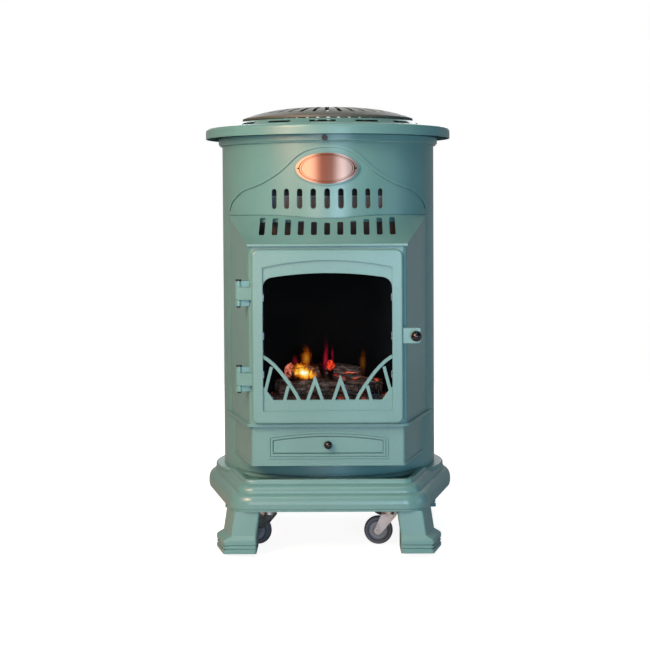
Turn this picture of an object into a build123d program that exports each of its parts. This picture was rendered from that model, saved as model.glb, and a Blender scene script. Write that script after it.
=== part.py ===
from build123d import *
import os
from math import asin, cos, degrees, hypot, radians, sin, sqrt

os.makedirs("parts", exist_ok=True)

# A portable gas heater: a round drum that holds a gas bottle, with a stove-like front.
# Millimetres, +Z up, front towards -Y. Z = 0 is the floor under the castors.
# Depths are measured from the drum's axis; DRUM_Y puts that axis in the frame.

# ---- fits ----
seat_gap = 0.3
running = 0.05

# ---- plinth, measured from the floor ----
plinth_bottom_z = 78.5
plinth_height = 50.5
plinth_wall = 5.0
plinth_front_inset = 7.0
plinth_front_room = 5.7
plinth_side_room = 4.1
plinth_widest_y = 13.0
plinth_rear_room = -2.4
plinth_rear_inset = 32.4
plinth_corner_r = 14.0
plinth_side_r = 120.0
plinth_moulding = 29.0
plinth_skin = 5.0
plinth_web = 3.0
plinth_lap = 12.0
floor_sheet = 2.0
bottle_seat_room = 12.3
bottle_seat_rise = 6.0
bottle_y = 25.0

# ---- drum ----
drum_r = 192.4
drum_wall = 1.5
drum_sink = 10.5
foot_flange_width = 15.6
foot_flange_height = 6.0
foot_flange_gap = 0.6

# ---- legs ----
leg_width = 43.0
leg_depth = 67.0
leg_front_inset = 22.7
leg_rear_inset = 33.0
leg_front_reach = 23.0
leg_rear_reach = 21.0
leg_side_slope = 0.26
leg_splay = 6.0
foot_clearance = 8.5
foot_flare = 6.0
foot_side_flare = 12.0
leg_corner_r = 4.0
leg_bolt_r = 3.0
leg_bolt_length = 20.0
bolt_head = 4.0

# ---- castors ----
castor_wheel_r = 25.0
castor_wheel_width = 17.0
castor_trail = 20.0
castor_stem_r = 5.0
castor_nut = 5.0
castor_axle_r = 4.0
castor_cup_r = 14.5
castor_plate = 2.0
castor_flange = 4.0
castor_crown_length = 26.0
castor_boss_r = 7.0
castor_clear = 0.1
castor_inset = 9.0
castor_turns = {"front_left": -18.0, "front_right": -4.0, "rear_left": 20.0, "rear_right": -25.0}

# ---- top ----
collar_overhang = 6.6
collar_height = 13.0
collar_lip = 3.0
screw_r = 2.0
screw_head_r = 5.2
screw_head = 2.6
screw_turns = (-1, 119, 239)
lid_overhang = 29.6
lid_rim = 18.0
lid_fall = 3.0
lid_sheet = 2.0
lid_edge_r = 6.0
lid_width = 49.0
vent_cone = 15.0
vent_ledge = 9.0
vent_rise = 9.5
vent_lip = 0.5
vent_slots = 13
vent_slot = (46.0, 3.2)
grille_inset = 3.0
grille_gap = 1.0
grille_rim = 4.0
grille_rise = 20.5
dome_fullness = 3
grille_sheet = 2.0
grille_slots = 36
grille_posts_count = 6
grille_post_r = 1.9

# ---- crest panel and nameplate ----
crest_sheet = 1.6
crest_cut_room = 20.0
crest_bead_width = 5.0
crest_bead_rise = 2.2
crest_slot_pitch = 7.05
crest_opening_past = 4.425
crest_slot_width = 9.5
crest_slot_height = 34.6
crest_slot_rise = 28.3
crest_height = 121.0
crest_head_room = 4.0
plate_rise = 80.0
plate_half = (53.5, 26.5)
plate_surround = 2.6
plate_thickness = 1.2
rivet_r = 1.6
rivet_head = 0.9
rivet_inset = 5.0

# ---- casing ----
sheet = 2.0
casing_reach = 64.6
casing_side_room = 5.5
casing_drum_angle = 64.3
casing_corner_r = 9.0
ledge_outset = 5.0
ledge_height = 5.0
ledge_web = 2.0
lower_rise = 34.0
lower_height = 67.0
lower_inset = 4.0
lower_hem = 4.5
hood_sheet = 1.6
hood_overhang = 5.5
hood_side_overhang = 2.6
hood_lip_height = 5.0
hood_lip_depth = 3.6
hood_end_angle = 66.4
hood_over_door = 9.5
hood_rise = 47.5
hood_dip = 5.5
hood_slot_pitch = 22.3
hood_slot_width = 10.0
hood_slot_rise = 14.2
hood_slot_count = 11

# ---- door ----
door_half = 126.5
door_rise = 6.0
door_height = 292.0
door_thickness = 10.5
door_gap = 2.5
door_corner_r = 11.0
door_edge_r = 3.4
recess_inset = 18.0
recess_depth = 3.5
recess_rise = 21.5
recess_side_drop = 30.0
recess_arch = 12.0
recess_foot_r = 2.0
window_rise = 38.0
window_side_height = 205.0
window_arch = 9.5
window_corner_r = 18.0
fret_bar = 5.5
fret_thickness = 4.0
glass_thickness = 4.0
glass_margin = 5.5
opening_margin = 3.0
seal_gap = 1.2
seal_width = 5.0
clip_sheet = 1.2
clip_lap = 7.0
clip_height = 12.0
hinge_outset = 22.5
hinge_rises = (74.5, 218.5)
hinge_arm_height = 21.0
hinge_barrel_r = 6.0
hinge_pin_r = 3.0
hinge_pin_head = 3.0
hinge_lug_height = 10.0
lug_gap = 0.4
latch_rise = 147.0
latch_tab_size = (30.0, 5.0, 27.0)
latch_inset = 2.0
latch_knob_outset = 21.5
latch_knob_r = 9.0
knob_neck_r = 4.0
knob_neck = 3.0
knob_sink = 1.0
catch_width = 6.0
catch_height = 16.0

# ---- flap and controls ----
flap_half = 92.0
flap_rise = 21.0
flap_side_height = 21.0
flap_arch = 7.0
flap_thickness = 2.5
flap_inset = 0.6
flap_clear = 0.6
flap_pin_rise = 2.2
flap_pin_r = 1.2
flap_barrel_r = 2.3
flap_knob_r = 7.0
flap_neck_r = 3.0
flap_neck = 2.0
ear_width = 5.0
ear_height = 9.0
frame_bead_outset = 9.0
frame_bead_rise = 1.5
panel_depth = 27.0
panel_sheet = 1.5
panel_margin = 3.0
control_rise = 15.0
valve_x = -34.0
valve_size = (34.0, 30.0)
valve_depth = 40.0
valve_collar = 4.0
valve_bore = 26.0
spindle_r = 4.0
spindle_inside = 20.0
control_knob_r = 12.0
control_knob_depth = 12.0
control_knob_front = 7.5
control_knob_face = 2.5
pointer_width = 2.4
pointer_rise = 1.2
igniter_x = 36.0
igniter_r = 6.0
igniter_wall = 3.0
igniter_inside = 20.0
igniter_bore = 14.0
igniter_button_inside = 8.0
igniter_button_front = 11.0
igniter_bezel = 6.0
pipe_r = 4.0
pipe_bend_r = 14.0
pipe_setback = 22.0
tail_x = -100.0
tail_r = 4.5
tail_length = 20.0
tail_nut_r = 9.0
tail_nut = 6.0

# ---- firebox ----
firebox_margin = 1.5
firebox_rise = 6.0
firebox_top_drop = 4.0
firebox_reach = 105.0
firebox_sheet = 1.0
shield_setback = 6.0
shield_sheet = 1.2
tray_side_room = 14.5
tray_front_room = 13.0
tray_depth = 80.0
tray_height = 26.0
tray_sheet = 1.2
burner_r = 6.0
burner_wall = 1.0
burner_spacing = 40.0
bed_height = 9.0
pilot_x = 78.0
pilot_inset = 12.0

# ---- rear cover ----
cover_half_angle = 62.0
cover_lap_angle = 3.0
cover_sheet = 1.2
cover_top_drop = 54.0
cover_lap = 12.0
cover_slot = (46.0, 7.0)
cover_slot_pitch = 8.0
cover_grip = (96.0, 26.0)
cover_grip_drop = 50.0

# ---- heights that follow ----
plinth_top_z = plinth_bottom_z + plinth_height
drum_foot_z = plinth_top_z - drum_sink
lower_bottom_z = drum_foot_z + lower_rise
casing_bottom_z = lower_bottom_z + lower_height
door_bottom_z = casing_bottom_z + door_rise
door_top_z = door_bottom_z + door_height
hood_lip_z = door_top_z + hood_over_door
hood_top_z = hood_lip_z + hood_rise
drum_top_z = hood_top_z + crest_height + crest_head_room
drum_height = drum_top_z - drum_foot_z
lid_bottom_z = drum_top_z + collar_height
lid_top_z = lid_bottom_z + lid_rim
vent_z = lid_top_z + lid_fall
vent_top_z = vent_z + vent_rise
grille_rim_z = vent_top_z + vent_lip + grille_gap
crest_slot_z = hood_top_z + crest_slot_rise
plate_z = hood_top_z + plate_rise
recess_bottom_z = door_bottom_z + recess_rise
recess_side_top_z = door_top_z - recess_side_drop
window_bottom_z = door_bottom_z + window_rise
window_side_top_z = window_bottom_z + window_side_height
hinge_z = [door_bottom_z + rise for rise in hinge_rises]
latch_z = door_bottom_z + latch_rise
firebox_bottom_z = door_bottom_z + firebox_rise
firebox_top_z = door_top_z - firebox_top_drop
flap_bottom_z = lower_bottom_z + flap_rise
flap_side_top_z = flap_bottom_z + flap_side_height
flap_axis_z = flap_bottom_z + flap_pin_rise
control_z = flap_bottom_z + control_rise
cover_top_z = drum_top_z - cover_top_drop

# ---- radii and widths that follow ----
drum_inner_r = drum_r - drum_wall
foot_flange_r = drum_r + foot_flange_width
collar_r = drum_r + collar_overhang
lid_r = drum_r + lid_overhang
lid_step_r = lid_r - lid_width
vent_top_r = lid_step_r - vent_cone
vent_hole_r = vent_top_r - vent_ledge
grille_r = vent_top_r - grille_inset
plinth_widest_half = drum_r + plinth_side_room
plinth_rear_half = drum_r - plinth_rear_inset
casing_front_half = door_half + casing_side_room
plinth_front_half = casing_front_half + plinth_front_room
recess_half = door_half - recess_inset
glass_half = recess_half + glass_margin
opening_half = glass_half + opening_margin
firebox_half = opening_half + firebox_margin
hood_lip_half = casing_front_half + hood_side_overhang
hinge_x = -door_half - hinge_outset
latch_knob_x = door_half + latch_knob_outset
rear_opening_half = drum_r * sin(radians(cover_half_angle - cover_lap_angle))
leg_front_x = plinth_front_half - leg_front_inset
leg_rear_x = plinth_rear_half - leg_rear_inset

# ---- depths that follow, from the drum's axis ----
casing_front_y = -drum_r - casing_reach
lower_front_y = casing_front_y + lower_inset
hood_lip_y = casing_front_y - hood_overhang
door_rear_y = casing_front_y - door_gap
door_front_y = door_rear_y - door_thickness
hinge_y = casing_front_y + sheet
latch_face_y = door_front_y + latch_inset
latch_knob_y = latch_face_y - knob_neck - latch_knob_r + knob_sink
panel_y = lower_front_y + panel_depth
firebox_rear_y = casing_front_y + firebox_reach
shield_y = firebox_rear_y + shield_setback
tail_y = shield_y + tail_nut + sheet
plinth_front_y = casing_front_y + plinth_front_inset
plinth_rear_y = drum_r + plinth_rear_room
leg_front_y = plinth_front_y - leg_front_reach
leg_rear_y = plinth_rear_y + leg_rear_reach
castor_sweep = hypot(castor_trail + castor_wheel_r, castor_wheel_width / 2 + castor_clear)
castor_room = leg_depth + castor_sweep + castor_clear
castor_front = (leg_front_x - castor_inset, leg_front_y + castor_room)
castor_rear = (leg_rear_x - castor_inset, leg_rear_y - castor_room)
castor_nut_r = castor_stem_r * 1.7
bottle_seat_r = hypot(castor_rear[0], castor_rear[1] - bottle_y) - castor_nut_r - bottle_seat_room
crest_plane_y = -drum_r / 5
DRUM_Y = (latch_knob_r - latch_knob_y - lid_r) / 2


# ---- planes ----
def level(z):
    """Horizontal plane, its origin on the drum's axis."""
    return Plane((0, DRUM_Y, z))


def facing(y):
    """Upright plane that faces the front: local x is X, local y is Z."""
    return Plane(origin=(0, DRUM_Y + y, 0), x_dir=(1, 0, 0), z_dir=(0, -1, 0))


def section():
    """Upright plane through the drum's axis for turned profiles."""
    return facing(0)


def side(x):
    """Upright plane across X: local x is Y, local y is Z."""
    return Plane(origin=(x, DRUM_Y, 0), x_dir=(0, 1, 0), z_dir=(1, 0, 0))


def radial(angle, radius, z):
    """Plane on the drum's front, turned by an angle from the middle, facing outwards."""
    a = radians(angle)
    return Plane(
        origin=(radius * sin(a), DRUM_Y - radius * cos(a), z),
        x_dir=(cos(a), sin(a), 0),
        z_dir=(sin(a), -cos(a), 0),
    )


drum_axis = Axis((0, DRUM_Y, 0), (0, 0, 1))


def save(piece, name):
    piece.label = name
    export_step(piece, f"parts/{name}.step")


def turned(points, smooth=()):
    """A solid turned about the drum's axis from (radius, z) points."""
    with BuildPart() as piece:
        with BuildSketch(section()) as outline:
            with BuildLine():
                Polyline(*points, close=True)
            make_face()
            for index, radius in smooth:
                corner = outline.vertices().sort_by_distance((*points[index], 0))[0]
                fillet(corner, radius)
        revolve(axis=drum_axis)
    return piece.part


def arched(half, bottom, side_top, rise):
    """Line work of an upright outline with a flat foot and an arched head."""
    Polyline((-half, side_top), (-half, bottom), (half, bottom), (half, side_top))
    ThreePointArc((half, side_top), (0, side_top + rise), (-half, side_top))


def arched_solid(y, depth, half, bottom, side_top, rise, corner=0.0, foot=0.0):
    """A plate with an arched head; it reaches from y towards the front by depth."""
    with BuildPart() as piece:
        with BuildSketch(facing(y)) as outline:
            with BuildLine():
                arched(half, bottom, side_top, rise)
            make_face()
            upper = outline.vertices().sort_by(Axis.Y)[-2:]
            lower = outline.vertices().sort_by(Axis.Y)[:2]
            if corner:
                fillet(upper, corner)
            if foot:
                fillet(lower, foot)
        extrude(amount=depth)
    return piece.part


# ======== plinth ========
plinth_corners = [
    (plinth_front_half, plinth_front_y),
    (plinth_widest_half, plinth_widest_y),
    (plinth_rear_half, plinth_rear_y),
    (-plinth_rear_half, plinth_rear_y),
    (-plinth_widest_half, plinth_widest_y),
    (-plinth_front_half, plinth_front_y),
]
plinth_radii = [plinth_corner_r, plinth_side_r, plinth_corner_r] * 2


def plinth_plan(inset):
    """Closed plan of the plinth's inner top edge, moved inwards."""
    with BuildSketch() as plan:
        with BuildLine():
            FilletPolyline(*plinth_corners, radius=plinth_radii, close=True)
        make_face()
        if inset:
            offset(amount=-inset, mode=Mode.REPLACE)
    return plan.sketch_local


with BuildPart() as base_plinth:
    with BuildLine(level(0)) as plinth_path:
        FilletPolyline(*plinth_corners, radius=plinth_radii, close=True)
    path_start = plinth_path.wire() @ 0
    path_run = plinth_path.wire() % 0
    outwards = path_run.cross(Vector(0, 0, 1))
    if outwards.dot(path_start - Vector(0, DRUM_Y, 0)) < 0:
        outwards = -outwards
    profile_plane = Plane(
        origin=path_start, x_dir=outwards, z_dir=outwards.cross(Vector(0, 0, 1))
    )
    out = plinth_moulding
    with BuildSketch(profile_plane):
        with BuildLine():
            Polyline(
                (-plinth_wall, plinth_bottom_z),
                (-plinth_wall, plinth_top_z),
                (0.08 * out, plinth_top_z),
            )
            Spline(
                (0.08 * out, plinth_top_z),
                (0.14 * out, plinth_top_z - 2.5),
                (0.16 * out, plinth_top_z - 6.5),
            )
            Polyline((0.16 * out, plinth_top_z - 6.5), (0.27 * out, plinth_top_z - 8.0))
            Spline(
                (0.27 * out, plinth_top_z - 8.0),
                (0.44 * out, plinth_top_z - 11.0),
                (0.55 * out, plinth_top_z - 16.0),
                (0.58 * out, plinth_top_z - 21.0),
            )
            Polyline((0.58 * out, plinth_top_z - 21.0), (0.70 * out, plinth_top_z - 22.5))
            Spline(
                (0.70 * out, plinth_top_z - 22.5),
                (0.86 * out, plinth_top_z - 25.5),
                (0.96 * out, plinth_top_z - 31.0),
                (out, plinth_top_z - 38.0),
            )
            Polyline(
                (out, plinth_top_z - 38.0),
                (out, plinth_bottom_z + 4.5),
                (out - 1.2, plinth_bottom_z + 3.8),
                (out - 1.2, plinth_bottom_z),
                (-plinth_wall, plinth_bottom_z),
            )
        make_face()
    sweep(path=plinth_path.wire())
    with BuildSketch(profile_plane):
        with BuildLine():
            Polyline(
                (1.0, plinth_bottom_z),
                (1.0, plinth_top_z - 14.0),
                (0.38 * out, plinth_top_z - 18.0),
                (0.42 * out, plinth_top_z - 26.5),
                (0.70 * out, plinth_top_z - 28.0),
                (out - plinth_skin, plinth_top_z - 37.0),
                (out - plinth_skin, plinth_bottom_z),
                close=True,
            )
        make_face()
    sweep(path=plinth_path.wire(), mode=Mode.SUBTRACT)
    with BuildSketch(level(drum_foot_z)):
        add(plinth_plan(0))
        Circle(drum_r - plinth_lap, mode=Mode.SUBTRACT)
    extrude(amount=-plinth_web)
    with BuildSketch(level(drum_foot_z)):
        Circle(foot_flange_r + foot_flange_gap)
    extrude(amount=2 * drum_sink, mode=Mode.SUBTRACT)
save(base_plinth.part, "base_plinth")

castor_spots = [
    (-castor_front[0], castor_front[1]),
    (castor_front[0], castor_front[1]),
    (-castor_rear[0], castor_rear[1]),
    (castor_rear[0], castor_rear[1]),
]
leg_places = {
    "leg_front_left": (-1, -1),
    "leg_front_right": (1, -1),
    "leg_rear_left": (-1, 1),
    "leg_rear_right": (1, 1),
}


def leg_edges(left_right, front_rear):
    """Inner x, end y and y of the far side of a leg at its top."""
    inner = leg_rear_x if front_rear > 0 else leg_front_x
    end = leg_rear_y if front_rear > 0 else leg_front_y
    return left_right * inner, end, end - front_rear * leg_depth


def leg_plan(left_right, front_rear, drop, flare, z):
    """Plan of a leg at a height; only its end and its outer side flare at the foot."""
    inner, end, far = leg_edges(left_right, front_rear)
    inner += left_right * leg_splay * drop
    end += front_rear * (leg_splay * 0.4 * drop + flare * foot_flare)
    far += front_rear * leg_splay * 0.4 * drop
    outer = inner + left_right * (leg_width + flare * foot_side_flare)
    wide = outer + left_right * leg_side_slope * leg_depth
    with BuildSketch(level(z)) as plan:
        with BuildLine():
            Polyline((inner, end), (outer, end), (wide, far), (inner, far), close=True)
        make_face()
        fillet(plan.vertices(), leg_corner_r)
    return plan.sketch


def leg_bolt_spots(left_right, front_rear):
    inner, end, far = leg_edges(left_right, front_rear)
    x = inner + left_right * 13
    return [(x, end - front_rear * share * leg_depth) for share in (0.5, 0.78)]


all_bolt_spots = [spot for place in leg_places.values() for spot in leg_bolt_spots(*place)]

with BuildPart() as base_floor:
    with BuildSketch(level(plinth_bottom_z)):
        add(plinth_plan(plinth_wall))
    extrude(amount=floor_sheet)
    with BuildSketch(Plane((0, DRUM_Y + bottle_y, plinth_bottom_z + floor_sheet))):
        Circle(bottle_seat_r)
    extrude(amount=bottle_seat_rise, taper=12)
    with BuildSketch(Plane((0, DRUM_Y + bottle_y, plinth_bottom_z))):
        Circle(bottle_seat_r - floor_sheet * 1.5)
    extrude(amount=bottle_seat_rise, taper=12, mode=Mode.SUBTRACT)
    with BuildSketch(level(plinth_bottom_z)):
        with Locations(*castor_spots):
            Circle(castor_stem_r)
        with Locations(*all_bolt_spots):
            Circle(leg_bolt_r)
    extrude(amount=floor_sheet, mode=Mode.SUBTRACT)
save(base_floor.part, "base_floor")

foot_profile = [
    (0.0, 30.0),
    (0.85, 24.0),
    (1.0, 21.0),
    (1.0, 15.0),
    (0.7, 13.6),
    (0.95, 12.0),
    (0.95, 9.0),
    (0.7, 7.6),
    (1.0, 6.0),
    (1.0, 0.0),
]
for name, (left_right, front_rear) in leg_places.items():
    sections = [leg_plan(left_right, front_rear, 0, 0, plinth_bottom_z)]
    for flare, height in foot_profile:
        sections.append(leg_plan(left_right, front_rear, 1, flare, foot_clearance + height))
    with BuildPart() as leg:
        loft(sections, ruled=True)
        with BuildSketch(level(plinth_bottom_z)):
            with Locations(*leg_bolt_spots(left_right, front_rear)):
                Circle(leg_bolt_r)
        extrude(amount=-leg_bolt_length - 2, mode=Mode.SUBTRACT)
    save(leg.part, name)

with BuildPart() as leg_bolts:
    with BuildSketch(level(plinth_bottom_z - leg_bolt_length)):
        with Locations(*all_bolt_spots):
            Circle(leg_bolt_r)
    extrude(amount=leg_bolt_length + floor_sheet)
    with BuildSketch(level(plinth_bottom_z + floor_sheet)):
        with Locations(*all_bolt_spots):
            RegularPolygon(leg_bolt_r * 1.8, 6)
    extrude(amount=bolt_head)
save(leg_bolts.part, "leg_bolts")

# ======== castors ========
cup_top_z = plinth_bottom_z - castor_flange - seat_gap
crown_z = 2 * castor_wheel_r + castor_plate
stem_foot_z = crown_z + 2 * castor_plate
fork_inner = castor_wheel_width / 2 + 1.0
fork_outer = fork_inner + castor_plate
crown_x = -1.0
with BuildPart() as castor_stems:
    with BuildSketch(level(stem_foot_z)):
        with Locations(*castor_spots):
            Circle(castor_stem_r)
    extrude(amount=plinth_bottom_z + floor_sheet - stem_foot_z)
    with BuildSketch(level(plinth_bottom_z)):
        with Locations(*castor_spots):
            Circle(castor_cup_r)
    extrude(amount=-castor_flange)
    with BuildSketch(level(plinth_bottom_z + floor_sheet)):
        with Locations(*castor_spots):
            RegularPolygon(castor_nut_r, 6)
    extrude(amount=castor_nut)
save(castor_stems.part, "castor_stems")

# One castor about its own swivel axis, trailing towards -X.
with BuildPart() as castor_fork:
    with BuildSketch(Plane.XY.offset(crown_z)):
        with Locations((crown_x, 0)):
            Rectangle(castor_crown_length, 2 * fork_outer)
    extrude(amount=castor_plate)
    with BuildSketch(Plane.XY.offset(crown_z + castor_plate)):
        Circle(castor_cup_r)
    extrude(amount=cup_top_z - crown_z - castor_plate)
    for plate_y in (fork_outer, -fork_inner):
        with BuildSketch(Plane.XZ.offset(-plate_y)):
            with Locations((-castor_trail, castor_wheel_r)):
                Circle(castor_boss_r)
            with Locations((crown_x, crown_z + castor_plate / 2)):
                Rectangle(castor_crown_length, castor_plate)
            make_hull()
        extrude(amount=castor_plate)
    with BuildSketch(Plane.XY.offset(stem_foot_z - 1)):
        Circle(castor_stem_r + running)
    extrude(amount=plinth_bottom_z, mode=Mode.SUBTRACT)
    with BuildSketch(Plane.XZ.offset(-fork_outer - 2)):
        with Locations((-castor_trail, castor_wheel_r)):
            Circle(castor_axle_r)
    extrude(amount=2 * fork_outer + 4)

hub_r = castor_wheel_r * 0.62
boss_rise = 0.6
dish = 2.5
crown_fall = 2.5
with BuildPart() as castor_wheel:
    with BuildSketch(Plane.XY) as wheel_profile:
        with BuildLine():
            half = castor_wheel_width / 2
            Polyline(
                (castor_axle_r + running, -half - boss_rise),
                (2 * castor_axle_r, -half - boss_rise),
                (2 * castor_axle_r + 1, -half + dish),
                (hub_r, -half + dish),
                (hub_r + 1.5, -half),
                (castor_wheel_r - crown_fall, -half),
            )
            Spline(
                (castor_wheel_r - crown_fall, -half),
                (castor_wheel_r, 0),
                (castor_wheel_r - crown_fall, half),
            )
            Polyline(
                (castor_wheel_r - crown_fall, half),
                (hub_r + 1.5, half),
                (hub_r, half - dish),
                (2 * castor_axle_r + 1, half - dish),
                (2 * castor_axle_r, half + boss_rise),
                (castor_axle_r + running, half + boss_rise),
                (castor_axle_r + running, -half - boss_rise),
            )
        make_face()
    revolve(axis=Axis.Y)

wheel_in_fork = Location((-castor_trail, 0, castor_wheel_r))
for (name, turn), (x, y) in zip(castor_turns.items(), castor_spots):
    place = Location((x, DRUM_Y + y, 0), (0, 0, turn))
    save(castor_fork.part.moved(place), f"castor_fork_{name}")
    save(castor_wheel.part.moved(place * wheel_in_fork), f"castor_wheel_{name}")

# ======== drum ========
front_opening_half = firebox_half + 31.5
front_opening_bottom_z = lower_bottom_z + 8
front_opening_top_z = hood_top_z - 12
crest_opening_half = drum_r * sin(radians(4 * crest_slot_pitch + crest_opening_past))
rear_opening_bottom_z = drum_foot_z + 22
rear_opening_top_z = cover_top_z - cover_lap
with BuildPart() as drum_shell:
    with BuildSketch(level(drum_foot_z)):
        Circle(drum_r)
        Circle(drum_inner_r, mode=Mode.SUBTRACT)
    extrude(amount=drum_height)
    with BuildSketch(facing(0)):
        with Locations((0, (front_opening_bottom_z + front_opening_top_z) / 2)):
            Rectangle(2 * front_opening_half, front_opening_top_z - front_opening_bottom_z)
        with Locations((0, crest_slot_z)):
            Rectangle(2 * crest_opening_half, crest_slot_height + 3)
    extrude(amount=2 * drum_r, mode=Mode.SUBTRACT)
    with BuildSketch(facing(0)):
        with Locations((0, (rear_opening_bottom_z + rear_opening_top_z) / 2)):
            Rectangle(2 * rear_opening_half, rear_opening_top_z - rear_opening_bottom_z)
    extrude(amount=-2 * drum_r, mode=Mode.SUBTRACT)
save(drum_shell.part, "drum_shell")

save(
    turned(
        [
            (drum_r, drum_foot_z),
            (foot_flange_r, drum_foot_z),
            (foot_flange_r, drum_foot_z + foot_flange_height),
            (drum_r, drum_foot_z + foot_flange_height),
        ],
        smooth=[(1, 2.0), (2, 3.2)],
    ),
    "drum_foot_flange",
)

# ======== collar, lid and top grille ========
lid_under_z = lid_top_z + lid_fall * (lid_r - drum_inner_r) / lid_width - lid_sheet - seat_gap
collar_screw_z = drum_top_z + collar_lip + (collar_height - collar_lip) * 0.4
screw_hole = 12.0
with BuildPart() as top_collar:
    with BuildSketch(section()):
        with BuildLine():
            Polyline(
                (drum_inner_r - collar_lip, drum_top_z),
                (collar_r - 2.5, drum_top_z),
                (collar_r - 2.0, drum_top_z + collar_lip - 1),
                (collar_r, drum_top_z + collar_lip),
                (collar_r, lid_bottom_z),
                (drum_inner_r, lid_bottom_z),
                (drum_inner_r, lid_under_z),
                (drum_inner_r - collar_lip, lid_under_z),
                close=True,
            )
        make_face()
    revolve(axis=drum_axis)
    with BuildSketch(*[radial(a, collar_r, collar_screw_z) for a in screw_turns]):
        Circle(screw_r)
    extrude(amount=-screw_hole, mode=Mode.SUBTRACT)
save(top_collar.part, "top_collar")

with BuildPart() as collar_screws:
    with BuildSketch(*[radial(a, collar_r - screw_hole + 2, collar_screw_z) for a in screw_turns]):
        Circle(screw_r)
    extrude(amount=screw_hole - 2 + running)
    with BuildSketch(*[radial(a, collar_r + running, collar_screw_z) for a in screw_turns]):
        Circle(screw_head_r)
    extrude(amount=screw_head)
save(collar_screws.part, "collar_screws")

lid_outline = [
    (lid_r, lid_bottom_z),
    (lid_r, lid_top_z),
    (lid_step_r, vent_z),
    (vent_top_r, vent_top_z),
    (vent_hole_r, vent_top_z + vent_lip),
    (vent_hole_r, vent_top_z + vent_lip - lid_sheet),
    (vent_top_r - 1, vent_top_z - lid_sheet),
    (lid_step_r - 0.8, vent_z - lid_sheet),
    (lid_r - lid_sheet, lid_top_z - lid_sheet),
    (lid_r - lid_sheet, lid_bottom_z),
]
vent_slot_z = vent_z + vent_rise * 0.45
with BuildPart() as lid:
    add(turned(lid_outline, smooth=[(1, lid_edge_r), (8, lid_edge_r - lid_sheet * 0.9)]))
    vent_angles = [25 + 360 / vent_slots * i for i in range(vent_slots)]
    with BuildSketch(*[radial(a, vent_top_r - vent_ledge * 0.7, vent_slot_z) for a in vent_angles]):
        SlotOverall(*vent_slot)
    extrude(amount=vent_cone + vent_ledge + 2, mode=Mode.SUBTRACT)
save(lid.part, "lid")

grille_top_z = grille_rim_z + grille_rim + grille_rise


def dome_z(radius):
    """Height of the grille's outer surface at a radius."""
    return grille_top_z - grille_rise * (radius / grille_r) ** dome_fullness


with BuildPart() as top_grille:
    with BuildSketch(section()):
        with BuildLine():
            Polyline(
                (0, grille_top_z - grille_sheet),
                (0, grille_top_z),
            )
            Spline(*[(grille_r * share, dome_z(grille_r * share)) for share in (0, 0.25, 0.5, 0.75, 1)])
            Polyline(
                (grille_r, dome_z(grille_r)),
                (grille_r, grille_rim_z),
                (grille_r - grille_sheet, grille_rim_z),
                (grille_r - grille_sheet, dome_z(grille_r) - grille_sheet),
            )
            inner = grille_r - grille_sheet
            shares = (1, 0.75, 0.5, 0.25, 0)
            Spline(*[(inner * share, dome_z(grille_r * share) - grille_sheet) for share in shares])
        make_face()
    revolve(axis=drum_axis)
    with BuildSketch(level(grille_rim_z - 1)):
        with PolarLocations(grille_r * 0.66, grille_slots):
            SlotOverall(grille_r * 0.42, grille_r * 0.042)
        with PolarLocations(grille_r * 0.27, grille_slots // 3):
            SlotOverall(grille_r * 0.22, grille_r * 0.042)
    extrude(amount=2 * grille_rise, mode=Mode.SUBTRACT)
save(top_grille.part, "top_grille")

post_spot_r = (vent_hole_r + grille_r - grille_sheet) / 2
with BuildPart() as grille_posts:
    with BuildSketch(level(vent_top_z + vent_lip)):
        with PolarLocations(post_spot_r, grille_posts_count, start_angle=-86):
            Circle(grille_post_r)
    extrude(amount=dome_z(post_spot_r + 2 * grille_post_r) - grille_sheet - vent_top_z - vent_lip)
save(grille_posts.part, "grille_posts")


# ======== crest panel and nameplate ========
def hood_head_z(x):
    """Height at which the hood meets the drum; it dips in the middle."""
    reach = min(abs(x) / (drum_r * 0.55), 1)
    return hood_top_z - hood_dip * (0.5 + 0.5 * cos(radians(180 * reach)))


crest_shape = [
    (67.7, 0.08),
    (64.0, 0.219),
    (57.7, 0.31),
    (51.0, 0.393),
    (45.0, 0.43),
    (33.5, 0.533),
    (23.7, 0.694),
    (14.6, 0.9),
]
crest_right = [
    (drum_r * sin(radians(angle)), hood_top_z + crest_height * share) for angle, share in crest_shape
]
crest_line = (
    [(-x, z) for x, z in crest_right] + [(0, hood_top_z + crest_height)] + crest_right[::-1]
)
crest_foot = [
    (x, hood_head_z(x) + 1.0) for x in [crest_right[0][0] * share for share in (1, 0.7, 0.45, 0.2)]
]
crest_foot += [(0, hood_head_z(0) + 1.0)] + [(-x, z) for x, z in crest_foot[::-1]]


def inset(points, distance):
    """Points moved square to their line, to its right-hand side."""
    moved = []
    for i, (x, z) in enumerate(points):
        before = points[max(i - 1, 0)]
        after = points[min(i + 1, len(points) - 1)]
        run_x, run_z = after[0] - before[0], after[1] - before[1]
        run = sqrt(run_x**2 + run_z**2)
        moved.append((x + distance * run_z / run, z - distance * run_x / run))
    return moved


def bent(outline, r_in, r_out):
    """A sketch seen from the front, cut out of a sheet that follows the drum."""
    with BuildPart() as piece:
        extrude(outline, amount=drum_r, dir=(0, -1, 0))
        with BuildSketch(level(hood_top_z - crest_cut_room)):
            Circle(r_out)
            Circle(r_in, mode=Mode.SUBTRACT)
        extrude(amount=crest_height + 2 * crest_cut_room, mode=Mode.INTERSECT)
    return piece.part


def crest_outline():
    with BuildSketch(facing(crest_plane_y)) as outline:
        with BuildLine():
            Spline(*crest_line)
            Line(crest_line[-1], crest_foot[0])
            Spline(*crest_foot)
            Line(crest_foot[-1], crest_line[0])
        make_face()
    return outline.sketch


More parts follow.
